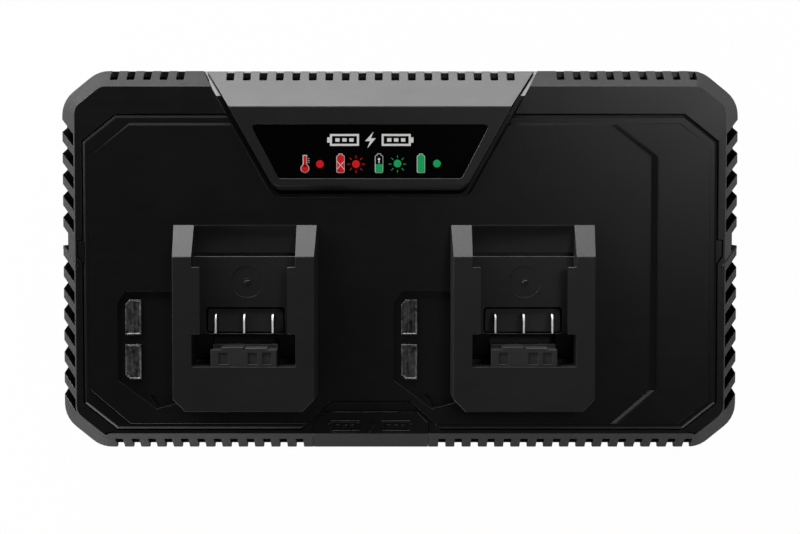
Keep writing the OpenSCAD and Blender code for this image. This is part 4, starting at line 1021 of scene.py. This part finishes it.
    def _green(self) -> bmesh.types.BMesh:
        """Green fills, dots and rays."""
        shape = bmesh.new()
        self._cell(shape, Charge.CHARGING, Layer.FILL, high=self.charged_to)
        self._cell(shape, Charge.FULL, Layer.FILL)
        for state in (Charge.CHARGING, Charge.FULL):
            Shaper.disc(shape, self._at(self.dot_x[state], self.green_dot_dy, Layer.FILL), self.dot_r)
        self._rays(shape, self.dot_x[Charge.CHARGING])
        return shape

    def _rays(self, shape: bmesh.types.BMesh, x: float) -> None:
        """Short strokes round a flashing dot."""
        for ray in range(self.rays):
            turn = ray * math.tau / self.rays
            dx, dy = math.cos(turn) * self.ray_reach, math.sin(turn) * self.ray_reach
            Shaper.plate(shape, self._at(x + dx, dy, Layer.FILL), *self.ray_size, math.degrees(turn))


class Side(Enum):
    """Which of the two docks."""

    LEFT = "left"
    RIGHT = "right"


@dataclass
class PackDock:
    """A dock for one slide-on pack, with its stop block, terminal carrier and blades."""

    side: Side
    rounding: float = 0.3 * MM
    carrier_rounding: float = 0.2 * MM
    blade_rounding: float = 0.06 * MM
    blade_facing_up: float = 0.5
    body: str = "charger"
    gate_dx: float = 0.9 * MM
    gate_from_rear: float = 29.5 * MM
    platform_z: float = 63.6 * MM
    # Place along X and Y and reach of the nub's lumps, in millimetres
    nub_lumps: tuple[tuple[float, float, float], ...] = ((0.0, 0.0, 1.1), (0.9, 0.35, 0.6), (-0.7, -0.5, 0.7))
    nub_height: float = 0.3 * MM

    def build(self) -> None:
        """Shapes the dock's four parts and the nub that the mould's gate left."""
        side = self.side.value
        rails = Shaper.solid(f"dock_{side}")
        Shaper.piece(rails, f"rails_{side}", DOCK, self.body, "dock", [f"dock_{side}"], self.rounding)
        stop = Shaper.solid(f"stop_block_{side}")
        Shaper.piece(stop, f"pads_{side}", STOP, self.body, "stop", [f"stop_block_{side}"], self.rounding)
        carrier = Shaper.solid(f"terminal_carrier_{side}")
        Shaper.piece(
            carrier,
            f"contact_base_{side}",
            CARRIER,
            self.body,
            "terminal_carrier",
            [f"terminal_carrier_{side}"],
            self.carrier_rounding,
        )
        blades = Shaper.solid(f"terminal_blades_{side}")
        # Faces that look up get the near-white blade top finish, a painted highlight.
        for face in blades.faces:
            face.material_index = int(face.normal.z > self.blade_facing_up)
        Shaper.piece(
            blades,
            f"contact_blades_{side}",
            [BLADE, BLADE_TOP_HIGHLIGHT],
            self.body,
            "blade",
            [f"terminal_blades_{side}"],
            self.blade_rounding,
        )
        self._gate_nub()

    def _gate_nub(self) -> None:
        """A torn, shiny nub in the middle of the gate mark."""
        low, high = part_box(f"dock_{self.side.value}")
        x = (low.x + high.x) / 2 + self.gate_dx
        at = Matrix.Translation((x, high.y - self.gate_from_rear, self.platform_z))
        nub = bmesh.new()
        for dx, dy, reach in self.nub_lumps:
            size = Matrix.Diagonal((reach * MM, reach * MM * 0.8, self.nub_height, 1.0))
            place = at @ Matrix.Translation((dx * MM, dy * MM, 0.0)) @ size
            bmesh.ops.create_icosphere(nub, subdivisions=3, radius=1.0, matrix=place)
        Shaper.piece(nub, f"gate_nub_{self.side.value}", NUB, self.body, "dock")


@dataclass
class StatusWindow:
    """One frosted window whose rim is painted lighter, as a painted highlight."""

    node: str
    rim: float = 0.6 * MM
    dish: float = 0.35 * MM
    rounding: float = 0.15 * MM
    rim_highlight_number: int = 1
    body: str = "charger"

    def build(self) -> None:
        """Shapes the window and sinks its face inside the rim."""
        shape = Shaper.solid(self.node, whole_faces=True)
        top = max(shape.faces, key=lambda face: (round(face.calc_center_median().z, 5), face.calc_area()))
        inner = bmesh.ops.inset_region(
            shape, faces=[top], thickness=self.rim, depth=0.0, use_even_offset=True
        )
        # The rim faces get the lighter rim finish, a painted highlight.
        for face in inner["faces"]:
            face.material_index = self.rim_highlight_number
        for edge in top.edges:
            for face in edge.link_faces:
                if face is not top:
                    face.material_index = self.rim_highlight_number
        slope = bmesh.ops.inset_region(
            shape, faces=[top], thickness=self.dish, depth=-self.dish, use_even_offset=True
        )
        for face in slope["faces"]:
            face.material_index = self.rim_highlight_number
        name = self.node.replace("lens", "window")
        Shaper.piece(shape, name, [LENS, LENS_RIM_HIGHLIGHT], self.body, "lens", [self.node], self.rounding)


@dataclass
class Underside:
    """What shows below and between the shells: feet and screws."""

    rounding: float = 0.3 * MM
    body: str = "charger"

    def build(self) -> None:
        """Shapes the feet and dresses the screws."""
        feet = Shaper.solid("rubber_feet")
        Shaper.piece(feet, "feet", FOOT, self.body, "foot_rubber", ["rubber_feet"], self.rounding)
        for node in ("case_screws", "deck_screws", "dock_screws", "board_screws"):
            Shaper.dress_node(node, ZINC)


@dataclass
class PowerSupply:
    """The boards and what stands on them."""

    finishes: dict[str, Finish] = field(
        default_factory=lambda: {
            "main_board": BOARD,
            "led_board_left": BOARD,
            "led_board_right": BOARD,
            "leds_left": EMITTER,
            "leds_right": EMITTER,
            "inlet_pins": PIN,
            "mains_leads": LEAD,
            "output_leads_left": LEAD,
            "output_leads_right": LEAD,
            "lead_sockets": SOCKET,
            "transformer_core": FERRITE,
            "transformer_bobbin": WINDING,
            "mains_choke": CHOKE,
            "fuse": FUSE,
            "bulk_capacitors": SLEEVE,
            "output_capacitors": SLEEVE,
            "heat_sink_input": SINK,
            "heat_sink_output": SINK,
            "power_transistors": PACKAGE,
            "output_diodes": PACKAGE,
        }
    )
    rounding: float = 0.25 * MM
    body: str = "charger"

    def build(self) -> None:
        """Dresses the parts and shapes the mains inlet."""
        for node, finish in self.finishes.items():
            Shaper.dress_node(node, finish)
        inlet = Shaper.solid("mains_inlet")
        Shaper.piece(inlet, "mains_socket", INLET, self.body, "inlet", ["mains_inlet"], self.rounding)


@dataclass
class CoolingFan:
    """The fan's frame, and its rotor that turns."""

    frame_rounding: float = 0.25 * MM
    rotor_rounding: float = 0.15 * MM

    def build(self) -> None:
        """Shapes both."""
        frame = Shaper.solid("fan_frame")
        Shaper.piece(frame, "fan_housing", FAN, "charger", "fan", ["fan_frame"], self.frame_rounding)
        rotor = Shaper.solid("fan_rotor")
        Shaper.piece(rotor, "fan_wheel", FAN, "fan", "fan", ["fan_rotor"], self.rotor_rounding)


# ---------------------------------------------------------------- Studio


@dataclass(frozen=True)
class Softbox:
    """One soft light: a glowing rectangle that looks at the charger."""

    name: str
    at: tuple[float, float, float]
    width: float
    height: float
    watts: float

    def hang(self, target: Vector) -> None:
        """Adds the light.

        Args:
            target: the point it looks at.
        """
        lamp = bpy.data.lights.new(self.name, "AREA")
        lamp.shape = "RECTANGLE"
        lamp.size = self.width
        lamp.size_y = self.height
        lamp.energy = self.watts
        held = bpy.data.objects.new(self.name, lamp)
        held.location = self.at
        held.rotation_euler = (target - Vector(self.at)).to_track_quat("-Z", "Y").to_euler()
        bpy.context.scene.collection.objects.link(held)


@dataclass
class Studio:
    """Camera, lights, world and floor."""

    eye: tuple[float, float, float] = (0.0, 0.0293, 0.8339)
    tilt: float = -0.0420
    lens_mm: float = 66.7
    floor_size: float = 6.0
    air: float = 0.03
    glow: float = 0.985
    paper: tuple[Colour, Colour] = ((0.78, 0.78, 0.78), (0.82, 0.82, 0.82))
    target: tuple[float, float, float] = (0.0, 0.0, 0.05)
    softboxes: tuple[Softbox, ...] = (
        Softbox("rear window", (-0.4, 1.3, 0.32), 2.3, 0.6, 45.0),
        Softbox("rear left window", (-1.1, 1.2, 0.32), 1.0, 0.6, 10.0),
        Softbox("front left window", (-0.8, -1.3, 0.3), 1.2, 0.6, 14.0),
        Softbox("front right window", (0.9, -1.2, 0.3), 1.2, 0.6, 6.0),
        Softbox("left window", (-1.3, 0.6, 0.3), 1.0, 0.5, 6.6),
        Softbox("overhead", (0.62, 0.45, 1.5), 0.5, 0.6, 2.9),
    )

    def set_up(self) -> None:
        """Builds the studio."""
        self._camera()
        self._world()
        self._floor()
        for box in self.softboxes:
            box.hang(Vector(self.target))
        view = bpy.context.scene.view_settings
        view.view_transform = "Standard"

    def _camera(self) -> None:
        """A camera straight above, tilted a little to the front."""
        lens = bpy.data.cameras.new("camera")
        lens.lens = self.lens_mm
        lens.sensor_width = 36.0
        lens.clip_start = 0.01
        held = bpy.data.objects.new("camera", lens)
        held.location = self.eye
        held.rotation_euler = (self.tilt, 0.0, 0.0)
        bpy.context.scene.collection.objects.link(held)
        bpy.context.scene.camera = held

    def _seen(self, desk: NodeDesk) -> Sock:
        """1 where the camera sees the surface, also through a clear piece, and 0 for its light."""
        path = desk.node("ShaderNodeLightPath")
        seen = Sock(desk, path.outputs["Is Camera Ray"])
        return seen.highest(Sock(desk, path.outputs["Is Transmission Ray"]))

    def _world(self) -> None:
        """Even air that the camera sees as white."""
        world = bpy.data.worlds.new("studio air")
        world.use_nodes = True
        bpy.context.scene.world = world
        desk = NodeDesk(world.node_tree)
        lit = desk.node("ShaderNodeBackground", {}, {"Color": (1.0, 1.0, 1.0, 1.0), "Strength": self.air})
        white = desk.node("ShaderNodeBackground", {}, {"Color": (1.0, 1.0, 1.0, 1.0), "Strength": 1.0})
        mixed = desk.node(
            "ShaderNodeMixShader", {}, {0: self._seen(desk), 1: lit.outputs[0], 2: white.outputs[0]}
        )
        out = desk.node("ShaderNodeOutputWorld")
        desk.tree.links.new(mixed.outputs[0], out.inputs["Surface"])

    def _floor(self) -> None:
        """A wide pale floor."""
        shape = bmesh.new()
        bmesh.ops.create_grid(shape, x_segments=1, y_segments=1, size=self.floor_size / 2)
        mesh = bpy.data.meshes.new("floor")
        shape.to_mesh(mesh)
        shape.free()
        floor = bpy.data.objects.new("floor", mesh)
        bpy.context.scene.collection.objects.link(floor)
        material = bpy.data.materials.new("floor paper")
        material.use_nodes = True
        desk = NodeDesk(material.node_tree)
        colour = desk.blended(desk.noise(per_metre=9.0), *self.paper)
        paper = desk.node("ShaderNodeBsdfPrincipled", {}, {"Base Color": colour, "Roughness": 0.9})
        glow = desk.node("ShaderNodeEmission", {}, {"Color": (1.0, 1.0, 1.0, 1.0), "Strength": 1.0})
        mixed = desk.node(
            "ShaderNodeMixShader",
            {},
            {0: self._seen(desk) * self.glow, 1: paper.outputs[0], 2: glow.outputs[0]},
        )
        desk.surface(mixed)
        mesh.materials.append(material)


def main() -> None:
    """Builds the sub-assemblies in order and sets up the studio."""
    logging.basicConfig(level=logging.INFO, format="%(message)s")
    Studio().set_up()
    CaseShells().build()
    DeckPanel().build()
    StatusDisplay().build()
    for side in Side:
        PackDock(side).build()
    for node in ("lens_left_rear", "lens_left_front", "lens_right_rear", "lens_right_front"):
        StatusWindow(node).build()
    Underside().build()
    PowerSupply().build()
    CoolingFan().build()
    bpy.context.view_layer.update()


if __name__ == "__main__":
    main()
